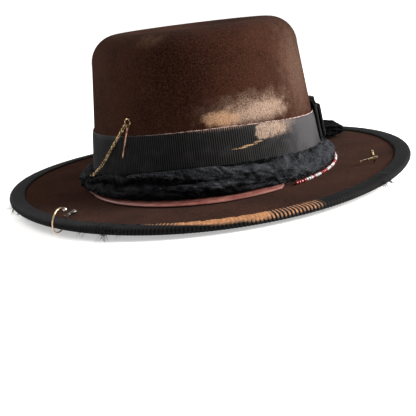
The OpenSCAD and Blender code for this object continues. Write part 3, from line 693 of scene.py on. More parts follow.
def bandGrid():
    cols, high = ribColumns(ovalRound(*band["oval"]))
    t = np.arange(cols) * 2 * np.pi / cols
    rib = high * ribbon["deep"]
    rows, ridge = [], []
    for s in np.linspace(0, 1, band["across"]):
        z = bandLow(t) + (bandHigh(t) - bandLow(t)) * s
        edge = 0.25 if s in (0.0, 1.0) else 0
        sway = 0.25 * softNoise(hatPoint(t, 0, z), 26, 4)
        rows.append(hatPoint(t, bandFace(t, z) + rib - edge + sway * (edge == 0), z))
        ridge.append(high)
    for s in (1.0, 0.0):
        z = bandLow(t) + (bandHigh(t) - bandLow(t)) * s
        rows.append(hatPoint(t, outerWall(t, z) + hat["gap"], z))
        ridge.append(high * 0)
    return np.array(rows), {"ridge": np.array(ridge)}


grid, marks = bandGrid()
bandPaint = ribbonPaint("bandRibbon", band["dark"], band["light"], 0.015, bandWorn)
bandCloth = gridPiece(
    "bandRibbon", grid, bandPaint, "band_ribbon", across=True, stands=("hat_band",), marks=marks)

picots = {"pitch": 1.62, "high": 0.75, "thick": 0.34, "pale": (0.62, 0.42, 0.36), "dark": (0.05, 0.035, 0.03)}


def picotPaint():
    p = Paint("paleThread", Roughness=0.7, Sheen_Weight=0.04)
    at = p.place()
    bright = p.spot(at, tuple(hatPoint(deg(38), 3, 48)), (92, 62, 30), 0.3, 0.12, 9.0, 0.3)
    worn = p.span(p.noise(2.4, at, 2), 0.3, 0.6)
    colour = p.mix(p.times(bright, worn), picots["dark"], picots["pale"])
    return p.finish(colour, None, p.bump(p.noise(0.3, at, 2), 0.1, 0.5))


def addPicots():
    bundle = Bundle()
    count = int(round(ovalRound(*band["oval"]) / picots["pitch"]))
    half = 0.42 * 2 * np.pi / count
    for i in range(count):
        middle = (i + 0.5) * 2 * np.pi / count
        q = np.linspace(0, np.pi, 7)
        t = middle - half * np.cos(q)
        z = bandHigh(t) - 0.25 + (picots["high"] + 0.12 * chance.normal()) * np.sin(q)
        line = hatPoint(t, outerWall(t, z) + hat["gap"] + picots["thick"] / 2 + 0.3, z)
        bundle.addGrid(tubeGrid(line, picots["thick"] / 2, 5, side=(0.02, 0.03, 1)))
    bundle.piece("bandPicots", picotPaint(), "pale_thread", stands=("band_edge_cord",))


addPicots()
print("band done")

# ---- bow ----
bow = {
    "at": 96, "middle": 31.6, "high": 25.5, "shortHigh": 22, "long": 40, "short": 32,
    "knot": 13, "thick": 0.7, "gap": 0.4, "longOpen": 0.8, "shortOpen": 1.0, "base": 1.6,
    "flat": {"long": (0.080, 0.0255), "short": (0.064, 0.022), "knot": (0.0175, 0.0265)},
}
bowPaint = ribbonPaint("bowRibbon", (0.002, 0.002, 0.002), (0.008, 0.008, 0.0085), 0.01)
bowFrame = wallFrame(deg(bow["at"]), bow["middle"], band["thick"] + 2 * hat["gap"])
bowFrame = bowFrame @ Matrix.Rotation(deg(-90), 4, "Z")
bowBend = hat["halfLong"] ** 2 / hat["halfWide"]
shortBase = bow["base"] + bow["longOpen"] + bow["gap"]


def resample(line, count):
    step = np.linalg.norm(np.diff(line, axis=0), axis=1)
    at = np.concatenate([[0], np.cumsum(step)])
    want = np.linspace(0, at[-1], count)
    return np.stack([np.interp(want, at, line[:, k]) for k in range(line.shape[1])], 1), at[-1]


def bowLoop(name, side, reach, base, opening, high, seed):
    start = bow["knot"] / 2 + 0.1
    u = np.linspace(start, reach, 30)
    bend = base - u * u / (2 * bowBend)
    s = (u - start) / (reach - start)
    puff = bow["base"] + opening * np.sin(np.pi * s ** 1.4)
    half = bow["thick"] / 2
    back = np.stack([u, bend + half], 1)
    front = np.stack([u, bend + puff - half], 1)[::-1]
    line = np.vstack([back[:-1], [[reach + 0.1, bend[-1] + bow["base"] / 2]], front[1:]])
    line, length = resample(line, 400)
    cols, ribs = ribColumns(length)
    line, length = resample(line, cols)
    ahead = np.gradient(line, axis=0)
    ahead /= np.linalg.norm(ahead, axis=1, keepdims=True)
    outward = np.stack([ahead[:, 1], -ahead[:, 0]], 1)
    rib = ribs * ribbon["deep"] * 0.7
    rows, ridge = [], []
    for face, heights in ((1, np.linspace(-1, 1, 11)), (-1, np.linspace(1, -1, 11))):
        for h in heights:
            shift = face * (half + rib) - face * 0.12 * (abs(h) == 1)
            z = (high - bow["high"]) / 2 + h * high / 2 * (1 + 0.02 * np.sin(line[:, 0] / 5 + seed))
            # a soft hollow along the middle and a little sway at the free end
            dent = -0.3 * (1 - h * h) * np.sin(np.pi * np.clip((line[:, 0] - start) / (reach - start), 0, 1))
            p = line + outward * shift[:, None]
            over = np.linspace(0, 1, len(line)) > 0.5
            y = p[:, 1] + dent * over + 0.12 * np.sin(h * 3 + line[:, 0] / 7 + seed) * over
            rows.append(np.stack([side * p[:, 0], y, z], 1))
            ridge.append(ribs)
    grid, ridge = np.array(rows), np.array(ridge)
    ends = (grid + grid[::-1]) / 2  # closes the ribbon's two cut ends
    grid = np.concatenate([ends[:, :1], grid, ends[:, -1:]], 1)
    ridge = np.concatenate([ridge[:, :1], ridge, ridge[:, -1:]], 1)
    return gridPiece(
        name, moved(grid, bowFrame), bowPaint, "bow_ribbon", around=False, across=True, weld=True,
        marks={"ridge": ridge})


for side, word in ((-1, "Front"), (1, "Back")):
    for kind, base, high, seed in (
        ("long", bow["gap"], bow["high"], side),
        ("short", shortBase + bow["gap"], bow["shortHigh"], side * 3),
    ):
        name = "bow" + kind.capitalize() + word
        loop = bowLoop(name, side, bow[kind], base, bow[kind + "Open"], high, seed)
        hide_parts("bow_" + kind + "_loops")


def addKnot():
    depth = shortBase + bow["base"] + bow["gap"]
    q = np.linspace(0, 2 * np.pi, 96, endpoint=False)
    c, s = np.cos(q), np.sin(q)
    rows, ridge = [], []
    cols, high = ribColumns(bow["high"])
    heights = np.linspace(-1, 1, cols)
    for h, rib in zip(heights, high):
        pinch = 1 - 0.1 * (1 - h * h)
        pleat = 0.28 * np.abs(np.sin(c * 7 + 0.5 * h)) * (s > 0)
        x = np.sign(c) * np.abs(c) ** 0.5 * bow["knot"] / 2 * pinch
        y = np.sign(s) * np.abs(s) ** 0.5 * depth / 2 + depth / 2 + bow["gap"] + 0.3 * (s > 0) * (1 - h * h)
        y = y + (pleat + rib * 0.12) * (s > 0)
        rows.append(np.stack([x, y, 0 * x + h * (bow["high"] + 1) / 2], 1))
        ridge.append(rib + 0 * x)
    grid = np.array(rows)
    cap = grid[[0]].mean(1, keepdims=True), grid[[-1]].mean(1, keepdims=True)
    top = cap[1] + (grid[[-1]] - cap[1]) * np.array([0.9, 0.85, 1])
    low = cap[0] + (grid[[0]] - cap[0]) * np.array([0.9, 0.85, 1])
    closeTop, closeLow = np.broadcast_to(cap[1], top.shape), np.broadcast_to(cap[0], low.shape)
    grid = np.concatenate([closeLow, low, grid, top, closeTop])
    flatRidge = np.zeros((2, len(q)))
    ridge = np.concatenate([flatRidge, np.array(ridge), flatRidge])
    knot = gridPiece(
        "bowKnot", moved(grid, bowFrame), bowPaint, "bow_ribbon", weld=True, stands=("bow_knot",),
        marks={"ridge": ridge})


addKnot()
print("bow done")

# ---- rag wrap: crumpled gauze wound round the foot of the band ----
wrap = {
    "low": 4.4, "top": 19.5, "wave": 3.5, "bulge": 7, "gatherAt": -76,
    "around": 900, "across": 44, "cloth": 0.5,
    "section": (
        (0, 0.05), (0, 0.55), (0.1, 0.92), (0.26, 1.0), (0.5, 0.84), (0.78, 0.5), (1, 0.14), (1.02, 0.03),
    ),
    "flat": (0.64, 0.0275),
    "dark": (0.0016, 0.0016, 0.0019), "litGrey": (0.030, 0.0315, 0.036), "pale": (0.155, 0.162, 0.18),
}


def wrapHigh(t):
    return wrap["top"] + wrap["wave"] * np.cos(2 * t)


def wrapBase(t, s):
    # place on the smooth wrap at share s of the way from its lower inside edge to its top
    steps = np.linspace(0, 1, len(wrap["section"]))
    up = np.interp(s, steps, [p[0] for p in wrap["section"]])
    out = np.interp(s, steps, [p[1] for p in wrap["section"]])
    gather = 1 + 0.3 * np.maximum(0, np.cos(t - deg(wrap["gatherAt"]))) ** 10
    z = wrap["low"] + (wrapHigh(t) - wrap["low"]) * up
    return bandFace(t, z) + hat["gap"] + wrap["bulge"] * out * gather, z


def puff(x, sharp=0.75):
    # rounded folds with narrow valleys between them
    return np.abs(np.sin(np.pi * x)) ** sharp


def wrapFolds(t, s):
    mm150 = np.stack([np.cos(t) * 95, np.sin(t) * 95, s * 26], -1)
    warp = softNoise(mm150, 26, 5)
    warp2 = softNoise(mm150, 9, 6)
    along = t * 95
    long = puff(s * 2.5 + 0.95 * warp + 0.35 * np.sin(2.3 * t + 0.6) + 0.12 * warp2)
    slant = puff(along / 19 + s * 2.2 + 0.9 * warp2 + 0.8 * warp, 0.9)
    creases = puff(along / 6.5 + s * 3.4 + 1.3 * warp2, 1.0)
    crumple = softNoise(mm150, 4.2, 7)
    fine = softNoise(mm150, 1.6, 8)
    knobs = bellAt(t, wrap["gatherAt"] - 2, 17)
    knobby = puff(along / 5.2 + 0.7 * warp2, 1.1) * puff(s * 3.6 + 0.6 * warp2, 1.0)
    high = 3.0 * (long - 0.7) + 1.1 * (slant - 0.6) * (1 - knobs) + 0.35 * (creases - 0.5)
    return high + 0.3 * crumple + 0.1 * fine + knobs * 2.6 * (knobby - 0.35)


def wrapPoint(t, s, lift=0.0, folds=1.0):
    off, z = wrapBase(t, s)
    high = wrapFolds(t, s) * folds * np.clip(np.minimum(s / 0.12, (1.03 - s) / 0.1), 0, 1) + lift
    rise = np.interp(s, (0, 0.25, 0.45, 1), (-0.25, 0.0, 0.45, 0.75))
    point = hatPoint(t, off + high * np.sqrt(1 - rise ** 2), z + high * rise)
    # never below the strap it lies over
    floor = brimTop(t, off) + 1.6
    point[..., 2] = np.maximum(point[..., 2], floor + 0.4 * np.maximum(0, high))
    return point


def ragPaint(name, share, weaveDeep=0.25):
    p = Paint(name, Roughness=0.92, Sheen_Weight=0.02, Sheen_Roughness=0.4, Specular_IOR_Level=0.03)
    at = p.place()
    weave = p.cells(0.62, at)
    speck = p.span(p.noise(0.9, at, 3, 0.6), 0.4, 0.7)
    threads = p.span(p.noise(1.0, p.place((0.35, 0.35, 1.6)), 3, 0.6), 0.42, 0.62)
    broad = p.span(p.noise(11, at, 3, 0.55), 0.35, 0.65)
    # painted shade: the cloth is painted pale where its folds stand up and black down in the folds
    foldShade = p.span(p.mark("foldShade"), 0.38, 1.0)
    lit = p.times(foldShade, p.maths("ADD", p.times(broad, 0.6), share, clamp=True))
    colour = p.mix(lit, wrap["dark"], wrap["litGrey"])
    fleck = p.times(p.times(lit, speck), p.span(threads, 0, 1, 0.1, share))
    colour = p.mix(fleck, colour, wrap["pale"])
    holes = p.span(weave, 0.32, 0.55)
    colour = p.mix(p.times(holes, 0.45), colour, wrap["dark"])
    normal = p.bump(speck, weaveDeep * 0.6, 0.5, p.bump(p.noise(2.6, at, 3), 0.5, 0.5))
    return p.finish(colour, None, normal)


ragDark = ragPaint("ragCloth", 0.18)
gauze = ragPaint("ragGauze", 0.62)


def addWrap():
    t = np.arange(wrap["around"]) * 2 * np.pi / wrap["around"]
    s = np.linspace(0, 1, wrap["across"])[:, None]
    t, s = np.broadcast_arrays(t[None], s)
    # painted shade: lighter on the fold tops, darker in the valleys
    foldShade = np.clip(0.5 + 0.32 * wrapFolds(t, s), 0, 1)
    piece = gridPiece(
        "ragWrap", wrapPoint(t, s), ragDark, "rag_cloth", stands=("rag_wrap",), marks={"foldShade": foldShade})
    solidify(piece, wrap["cloth"])


# loose plies over it: from and to in degrees, then middle and half width as shares of the wrap's height
plies = (
    {"name": "gauzePillow", "from": -46, "to": 24, "middle": (0.86, 0.80, 0.70), "half": (0.05, 0.15, 0.08),
     "lift": 1.3, "folds": 0.35, "paint": gauze, "flat": (0.118, 0.012), "area": 0.0008, "mark": 0.85},
    {"name": "gauzeUpper", "from": -70, "to": -12, "middle": (0.62, 0.86, 0.74), "half": (0.07, 0.09, 0.05),
     "lift": 1.0, "folds": 0.6, "paint": ragDark, "flat": (0.098, 0.010), "area": 0.00055, "mark": 0.5},
    {"name": "ragLower", "from": -66, "to": 12, "middle": (0.42, 0.40, 0.34), "half": (0.07, 0.17, 0.12),
     "lift": 1.1, "folds": 0.75, "paint": ragDark, "flat": (0.138, 0.013), "area": 0.00103, "mark": 0.45},
    {"name": "ragFront", "from": -30, "to": 40, "middle": (0.50, 0.56, 0.46), "half": (0.04, 0.12, 0.10),
     "lift": 1.5, "folds": 0.7, "paint": gauze, "flat": (0.130, 0.012), "area": 0.00089, "mark": 0.6},
    {"name": "ragSide", "from": 14, "to": 98, "middle": (0.62, 0.52, 0.42), "half": (0.20, 0.32, 0.26),
     "lift": 1.3, "folds": 0.9, "paint": gauze, "flat": (0.146, 0.024), "area": 0.00246, "mark": 0.8},
    {"name": "ragBack", "from": 104, "to": 206, "middle": (0.50, 0.62, 0.44), "half": (0.10, 0.20, 0.12),
     "lift": 1.3, "folds": 0.7, "paint": ragDark, "flat": (0.176, 0.016), "area": 0.00188, "mark": 0.6},
    {"name": "ragLeft", "from": 196, "to": 282, "middle": (0.46, 0.44, 0.60), "half": (0.12, 0.20, 0.14),
     "lift": 1.3, "folds": 0.7, "paint": gauze, "flat": (0.150, 0.015), "area": 0.00155, "mark": 0.6},
)


def addPly(ply):
    cols = int((ply["to"] - ply["from"]) * 3.4)
    rows = 22
    k = np.linspace(0, 1, cols)[None]
    a = np.linspace(-1, 1, rows)[:, None]
    t = deg(ply["from"]) + (deg(ply["to"]) - deg(ply["from"])) * k + 0 * a
    spots = np.stack([k * 140 + 0 * a, a * 8 + 0 * k, 0 * t + ply["from"]], -1)
    ragged = 1 + 0.22 * softNoise(spots * np.array([1, 0, 1]), 5, 9) + 0.14 * softNoise(spots, 1.8, 10)
    middle = np.interp(k, (0, 0.5, 1), ply["middle"])
    half = np.interp(k, (0, 0.1, 0.5, 0.9, 1), (0.3 * ply["half"][0], *ply["half"], 0.3 * ply["half"][2]))
    s = middle + half * a * ragged + 0.03 * np.sin(k * 9 + ply["from"])
    crown = np.sqrt(np.clip(1 - a * a * 0.95, 0, 1))
    end = np.clip(np.minimum(k, 1 - k) / 0.12, 0, 1)
    lift = (0.15 + ply["lift"] * crown * (0.35 + 0.65 * end)) + 0.35 * puff(k * 11 + a * 1.3, 1.0) * end
    lift = lift + 0.3 * softNoise(spots, 3.5, 11)
    point = wrapPoint(t, np.clip(s, 0.02, 1.0), np.maximum(lift, 0.12), ply["folds"])
    # a ply rests on whatever of the wrap stands highest under it
    under = wrapFolds(t, np.clip(s, 0.02, 1.0)) * (1 - ply["folds"])
    point = point + np.concatenate([outDir(t) * np.maximum(under, 0)[..., None], 0 * point[..., :1]], -1)
    # painted shade: each ply's given level, lighter along its middle and darker towards its edges
    foldShade = np.clip(ply["mark"] + 0.22 * softNoise(spots, 4, 12) + 0.25 * (crown - 0.7), 0, 1)
    piece = gridPiece(ply["name"], point, ply["paint"], "rag_cloth", around=False, marks={"foldShade": foldShade})
    solidify(piece, 0.3)
    return point


fuzz = {"side": 620, "round": 260, "thick": 0.16, "edge": 36}


def addFuzz(plyGrids):
    bundle = Bundle()

    def scatter(count, low, high, sLow, sHigh, long, fan):
        t = deg(1) * chance.uniform(low, high, count)
        s = chance.uniform(sLow, sHigh, count)
        roots = wrapPoint(t, s, 1.3)
        n = outDir(t)
        along = np.stack([-n[:, 1], n[:, 0], 0 * t], 1)
        ways = along * chance.choice([-1, 1], count)[:, None] * 0.9 + chance.normal(size=(count, 3)) * 0.35
        ways[:, 2] += fan * chance.uniform(-1, 0.8, count)
        ways[:, :2] += n * 0.25
        hairs(bundle, roots, ways, long * chance.uniform(0.5, 1.2, count), fuzz["thick"], 0.8, 0.35)

    scatter(fuzz["side"], 8, 104, 0.12, 0.95, 4.0, 0.8)
    scatter(fuzz["round"], -75, 285, 0.15, 0.95, 2.6, 0.5)
    # frayed edges of the loose plies
    for grid in plyGrids:
        for row, beside in ((0, 4), (-1, -5)):
            picked = chance.integers(2, grid.shape[1] - 2, fuzz["edge"])
            roots = grid[row, picked]
            ways = grid[row, picked] - grid[beside, picked]
            ways /= np.linalg.norm(ways, axis=1, keepdims=True)
            ways += chance.normal(size=ways.shape) * 0.5
            hairs(bundle, roots, ways, chance.uniform(1.0, 3.2, fuzz["edge"]), fuzz["thick"], 0.8, 0.3)
    p = Paint("ragFuzz", Roughness=0.9, Sheen_Weight=0.03, Specular_IOR_Level=0.1)
    at = p.place()
    side = p.spot(at, tuple(hatPoint(deg(52), 8, 12)), (46, 52, 30), 0.0, 0.2, 9.0, 0.6)
    bright = p.times(p.span(p.noise(2.0, at, 3), 0.35, 0.65), p.span(side, 0, 1, 0.25, 1))
    paint = p.finish(p.mix(bright, (0.004, 0.004, 0.005), (0.13, 0.14, 0.16)))
    bundle.piece("ragFuzz", paint, "rag_cloth")


addWrap()
addFuzz([addPly(ply) for ply in plies])
print("wrap done")

# ---- the wrap's knotted tail, out over the brim ----
tail = {
    "at": 114, "reach": 31, "wide": 24, "lift": 2.2, "fringe": 420,
    "sections": ((0, 0.45, 10), (0.2, 0.8, 12), (0.5, 1, 13), (0.8, 0.95, 11), (1, 0.75, 7)),
    "flat": (0.036, 0.032),
}


def addTail():
    t = deg(tail["at"])
    start = float(bandFace(t, wrap["low"])) + 2 * hat["gap"] + wrap["bulge"]
    place = np.array(brimFrame(t, start, 0))
    k = np.linspace(0, 1, 60)[:, None]
    q = np.linspace(0, 2 * np.pi, 120, endpoint=False)[None]
    keys = [p[0] for p in tail["sections"]]
    wide = np.interp(k, keys, [p[1] for p in tail["sections"]]) * tail["wide"] / 2
    high = np.interp(k, keys, [p[2] for p in tail["sections"]]) / 2
    ground = brimTop(t, start + k * tail["reach"]) - brimTop(t, start)
    folds = 1 + 0.13 * np.sin(7 * q + 3 * k) + 0.09 * np.sin(13 * q - 5 * k + 1)
    spots = np.stack([k * 28 + 0 * q, 12 * np.cos(q) + 0 * k, 8 * np.sin(q) + 0 * k], -1)
    folds = folds + 0.12 * softNoise(spots, 4, 13) + 0.06 * softNoise(spots, 1.6, 14)
    folds = folds * np.clip(0.55 + 2 * k, 0, 1)
    x = k * tail["reach"] + 0.8 * softNoise(spots, 3, 15)
    y = wide * np.cos(q) * folds
    z = tail["lift"] + ground + high + high * np.sin(q) * np.minimum(folds, 1.25)
    z = np.maximum(z, tail["lift"] + ground - 0.3)
    grid = np.stack([x + 0 * q, y, z], -1)
    heart = grid.mean(1, keepdims=True)
    tip = heart[-1:] + 0.55 * (grid[-1:] - heart[-1:])
    grid = np.concatenate([heart[:1] + 0 * grid[:1], grid, tip, heart[-1:] + 0 * grid[-1:]])
    world = moved(grid, place)
    # painted shade: the tail's bulging folds lighter, its hollows and its root darker
    foldShade = np.clip(0.1 + 1.6 * (folds - 0.95), 0, 1)
    foldShade = np.concatenate([foldShade[:1], foldShade, foldShade[-1:], foldShade[-1:]])
    cloth = gridPiece(
        "ragTail", world, ragDark, "rag_cloth", weld=True, stands=("rag_tail",), marks={"foldShade": foldShade})
    bundle = Bundle()
    rows = chance.integers(20, 60, tail["fringe"])
    cols = chance.integers(0, 120, tail["fringe"])
    roots = world[rows, cols]
    ways = np.array(Vector(place[:3, 0])) + chance.normal(size=(tail["fringe"], 3)) * 0.55
    ways += (roots - world[rows].mean(1)) * 0.05
    long = chance.uniform(1.2, 4.2, tail["fringe"]) * np.where(rows > 50, 1.5, 1)
    low = roots[:, 2] < 5
    ways[low, 2] = np.abs(ways[low, 2]) * 0.2
    hairs(bundle, roots, ways, long, 0.2, 0.8, 0.05)
    bundle.piece("tailFringe", blackThread, "black_thread")


addTail()
print("tail done")

# ---- leather strap ----
strap = {
    "from": -262, "to": 27, "inner": 6.0, "outer": 10.0, "swing": 8.5, "swingAt": -13, "swingHalf": 52,
    "thick": 1.3, "rise": 1.0,
    "dark": (0.045, 0.013, 0.010), "rose": (0.19, 0.058, 0.046), "pale": (0.29, 0.115, 0.09),
    # share across from the outer edge, height as a share of the thickness, how dark
    "outline": (
        (0.0, 0.45, 0.5), (0.015, 0.78, 0.1), (0.05, 0.97, 0), (0.16, 1.06, 0), (0.3, 1.08, 0),
        (0.36, 1.0, 0.25), (0.385, 0.68, 1.0), (0.41, 0.98, 0.35), (0.48, 1.08, 0), (0.65, 1.1, 0),
        (0.85, 1.05, 0), (0.96, 0.95, 0), (1.0, 0.5, 0.4), (0.97, 0.08, 0.6), (0.6, 0.0, 0.7),
        (0.3, 0.0, 0.7), (0.04, 0.05, 0.7),
    ),
}


def strapPaint():
    p = Paint("strapLeather", Roughness=0.62, Specular_IOR_Level=0.3)
    at = p.place()
    grain = p.cells(0.7, at)
    tone = p.span(p.noise(6, at, 3), 0.35, 0.7)
    colour = p.mix(tone, strap["rose"], strap["pale"])
    colour = p.mix(p.times(p.span(p.noise(0.9, at, 3), 0.4, 0.7), 0.35), colour, strap["dark"])
    colour = p.mix(p.mark("crease"), colour, strap["dark"])
    normal = p.bump(grain, 0.15, 0.4, p.bump(p.noise(3, at, 2), 0.4, 0.4))
    return p.finish(colour, p.span(tone, 0, 1, 0.5, 0.72), normal)


def addStrap():
    k = np.linspace(0, 1, 560)
    tDeg = strap["from"] + (strap["to"] - strap["from"]) * k
    t = np.radians(tDeg)
    away = np.abs(tDeg - strap["swingAt"])
    swing = strap["swing"] * np.cos(np.pi / 2 * away / strap["swingHalf"])
    outer = strap["outer"] + np.where(away < strap["swingHalf"], swing, 0)
    # the tip comes to a slanting point with its corner folded up
    tip = np.clip((strap["to"] - tDeg) / 3.2, 0, 1)
    outer = strap["inner"] + 1.2 + (outer - strap["inner"] - 1.2) * (0.35 + 0.65 * tip)
    wave = 0.25 * softNoise(np.stack([k * 420, 0 * k, 0 * k], -1), 16, 16)
    rows, crease = [], []
    for share, high, dark in strap["outline"]:
        d = outer + (strap["inner"] - outer) * share + wave * (1 - share)
        z = brimTop(t, d) + hat["gap"] + strap["rise"] * share + strap["thick"] * high
        z = z + 0.5 * np.clip((tDeg - strap["to"] + 3.5) / 3.5, 0, 1) * (share < 0.35) * high
        rows.append(hatPoint(t, d, z))
        crease.append(0 * t + dark)
    grid, crease = np.array(rows), np.array(crease)
    ends = grid.mean(0, keepdims=True)
    first = ends[:, :1] + 0 * grid[:, :1]
    last = ends[:, -1:] + 0 * grid[:, -1:]
    grid = np.concatenate([first, grid, last], 1)
    crease = np.concatenate([crease[:, :1], crease, crease[:, -1:]], 1)
    gridPiece(
        "roseStrap", grid, strapPaint(), "strap_leather", around=False, across=True, weld=True,
        stands=("leather_strap",), marks={"crease": crease})


addStrap()

# ---- bead string ----
beads = {
    "from": 31, "turn": 1.42, "count": 48, "wide": 2.3, "swing": 2.2, "thread": 0.5,
    "red": (0.20, 0.008, 0.012), "clear": (0.82, 0.80, 0.78),
    # half of a bead's outline: how far out, how far along
    "profile": (
        (0.34, 0.40), (0.62, 0.47), (0.88, 0.36), (1.0, 0.12),
        (1.0, -0.12), (0.88, -0.36), (0.62, -0.47), (0.34, -0.40),
    ),
}


def stringPoint(t):
    t = np.radians(t)
    foot = outerWall(deg(90), wrap["low"]) + hat["gap"] + band["thick"]
    d = foot + wrap["bulge"] + beads["wide"] / 2 + 3 * hat["gap"]
    d = d + beads["swing"] * np.maximum(0, np.cos((t - deg(42)) * 2)) ** 2
    return hatPoint(t, d, brimTop(t, d) + hat["gap"] + beads["wide"] / 2)


def glassPaint(name, colour, through, inner):
    p = Paint(name, Roughness=0.12, IOR=1.5, Coat_Weight=0.3, Transmission_Weight=through)
    at = p.place()
    streak = p.span(p.noise(0.9, at, 3), 0.3, 0.7)
    return p.finish(p.mix(streak, inner, colour), p.span(p.noise(0.5, at, 2), 0.3, 0.7, 0.08, 0.22))


def addBeads():
    q = np.linspace(0, 2 * np.pi, 18, endpoint=False)
    sets = {"red": Bundle(), "clear": Bundle()}
    for i in range(beads["count"]):
        t = beads["from"] + beads["turn"] * i
        middle = stringPoint(np.array(t))
        ahead = stringPoint(np.array(t + 0.5)) - stringPoint(np.array(t - 0.5))
        ahead = ahead / np.linalg.norm(ahead) + chance.normal(size=3) * 0.06
        ahead /= np.linalg.norm(ahead)
        a = np.cross(ahead, (0, 0, 1.0))
        a /= np.linalg.norm(a)
        b = np.cross(a, ahead)
        size = beads["wide"] / 2 * (1 + 0.04 * chance.normal())
        rows = [
            middle + ahead * (along * beads["wide"] * 0.92)
            + size * out * (np.cos(q)[:, None] * a + np.sin(q)[:, None] * b)
            for out, along in beads["profile"]
        ]
        k = i % 11
        sets["red" if k < 4 or k == 7 else "clear"].addGrid(np.array(rows), acrossClosed=True)
    made = []
    for key, through, inner, node in (
        ("red", 0.15, (0.42, 0.05, 0.06), "red_beads"), ("clear", 0.25, (0.55, 0.5, 0.5), "white_beads"),
    ):
        paint = glassPaint(key + "Glass", beads[key], through, inner)
        made.append(sets[key].piece(key + "Beads", paint, key + "_glass", stands=(node,)))
    return made


def addBeadString(on):
    t = np.linspace(beads["from"] - beads["turn"], beads["from"] + beads["turn"] * beads["count"], 36)
    line = stringPoint(t)
    grid = tubeGrid(line, beads["thread"] / 2, 10)
    string = gridPiece("beadString", grid, blackThread, "black_thread", stands=("bead_thread",))
    long = float(np.linalg.norm(np.diff(line, axis=0), axis=1).sum())
    print("bead string length", round(long, 1), "mm")


addBeadString(addBeads())
print("strap and beads done")

# ---- metal ----


def metalPaint(name, bright, worn, rough=0.25, scale=1.2):
    p = Paint(name, Metallic=1.0)
    at = p.place()
    rub = p.span(p.noise(scale, at, 4, 0.65), 0.43, 0.6)
    scratch = p.noise(0.5, p.place((1, 1, 5)), 3, 0.7)
    colour = p.mix(rub, worn, bright)
    return p.finish(colour, p.span(scratch, 0.3, 0.75, rough, rough + 0.25), p.bump(scratch, 0.03, 0.4))


# goldPlate: its dark worn colour, laid on by noise, is wear and also painted shade for the gaps between the
# chain's links
gold = metalPaint("goldPlate", (1.0, 0.78, 0.42), (0.13, 0.06, 0.02), 0.15, 1.5)
roseGold = metalPaint("roseGold", (0.62, 0.35, 0.25), (0.20, 0.085, 0.05), 0.25, 2.4)
hoopGold = metalPaint("paleGold", (0.82, 0.64, 0.42), (0.48, 0.32, 0.18), 0.2)
silver = metalPaint("silverBead", (0.8, 0.78, 0.75), (0.4, 0.38, 0.36), 0.12)
gunmetal = metalPaint("gunmetal", (0.17, 0.16, 0.145), (0.06, 0.055, 0.05), 0.25)
nickel = metalPaint("nickel", (0.62, 0.6, 0.55), (0.35, 0.33, 0.3), 0.3)


def shown(node):
    # the CAD solid itself, which keeps its shape and takes a finish
    return next(o for o in bpy.data.objects if o.get("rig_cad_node") == node)


for node, paint in (
    ("chain_links", gold), ("chain_hook", gold), ("chain_anchor_ring", gold), ("hanging_bar", roseGold),
    ("hoop_ring", hoopGold), ("hoop_ball", silver), ("charm_bail", gunmetal), ("pin_clutch", nickel),
):
    data = shown(node).data
    data.materials.clear()
    data.materials.append(paint)

charm = {
    "hoopAt": -43, "radius": 8, "wire": 1.0, "yaw": 20, "lean": 12, "rise": 1.2, "room": 0.6,
    "long": 8.5, "wide": 2.8, "bailWire": 0.5,
}


def charmFrame():
    drop = charm["rise"] + hat["felt"] + binding["thick"] + hat["gap"]
    reach = math.sqrt(charm["radius"] ** 2 - drop ** 2) * math.cos(deg(charm["yaw"]))
    inset = reach - charm["wire"] / 2 - binding["thick"] - hat["gap"] - charm["room"]
    foot = brimFrame(deg(charm["hoopAt"]), edgeOff - inset, charm["rise"])
    turns = Matrix.Rotation(deg(180 + charm["yaw"]), 4, "Z") @ Matrix.Rotation(deg(charm["lean"]), 4, "X")
    hoop = foot @ turns @ Matrix.Rotation(deg(90), 4, "X")
    bail = math.asin((charm["wide"] / 2 + 0.3 - charm["rise"]) / charm["radius"])
    at = Vector((charm["radius"] * math.cos(bail), charm["radius"] * math.sin(bail), 0))
    return hoop @ Matrix.Translation(at)


def addTube():
    # a slim tube that flares a little to its open end
    start = charm["wire"] / 2 + charm["bailWire"] + 0.55 + charm["bailWire"] / 2
    r = charm["wide"] / 2
    profile = (
        (0, 0.05), (0, 0.35), (0.12, 0.58), (0.5, 0.68), (1.0, 0.72), (1.1, 0.78), (1.3, 0.78), (1.4, 0.72),
        (4.0, 0.84), (charm["long"] - 1.0, 0.95), (charm["long"] - 0.9, 1.0), (charm["long"] - 0.15, 1.0),
        (charm["long"], 0.96), (charm["long"], 0.8), (charm["long"] - 0.2, 0.76), (2.0, 0.6), (1.4, 0.05),
    )
    q = np.linspace(0, 2 * np.pi, 40, endpoint=False)
    rows = [np.stack([0 * q + start + x, r * y * np.cos(q), r * y * np.sin(q)], 1) for x, y in profile]
    grid = moved(rows, charmFrame())
    gridPiece("tubeCharm", grid, gunmetal, "gunmetal", across=True, body="charm", stands=("tube_charm",))


addTube()

pin = {
    "at": 60, "inset": 22, "lean": 8, "yaw": 28, "arm": 10, "past": 3, "bar": 9, "thick": 1.3, "bevel": 0.22,
    "stem": 0.9, "reach": 8, "sides": 16,
}


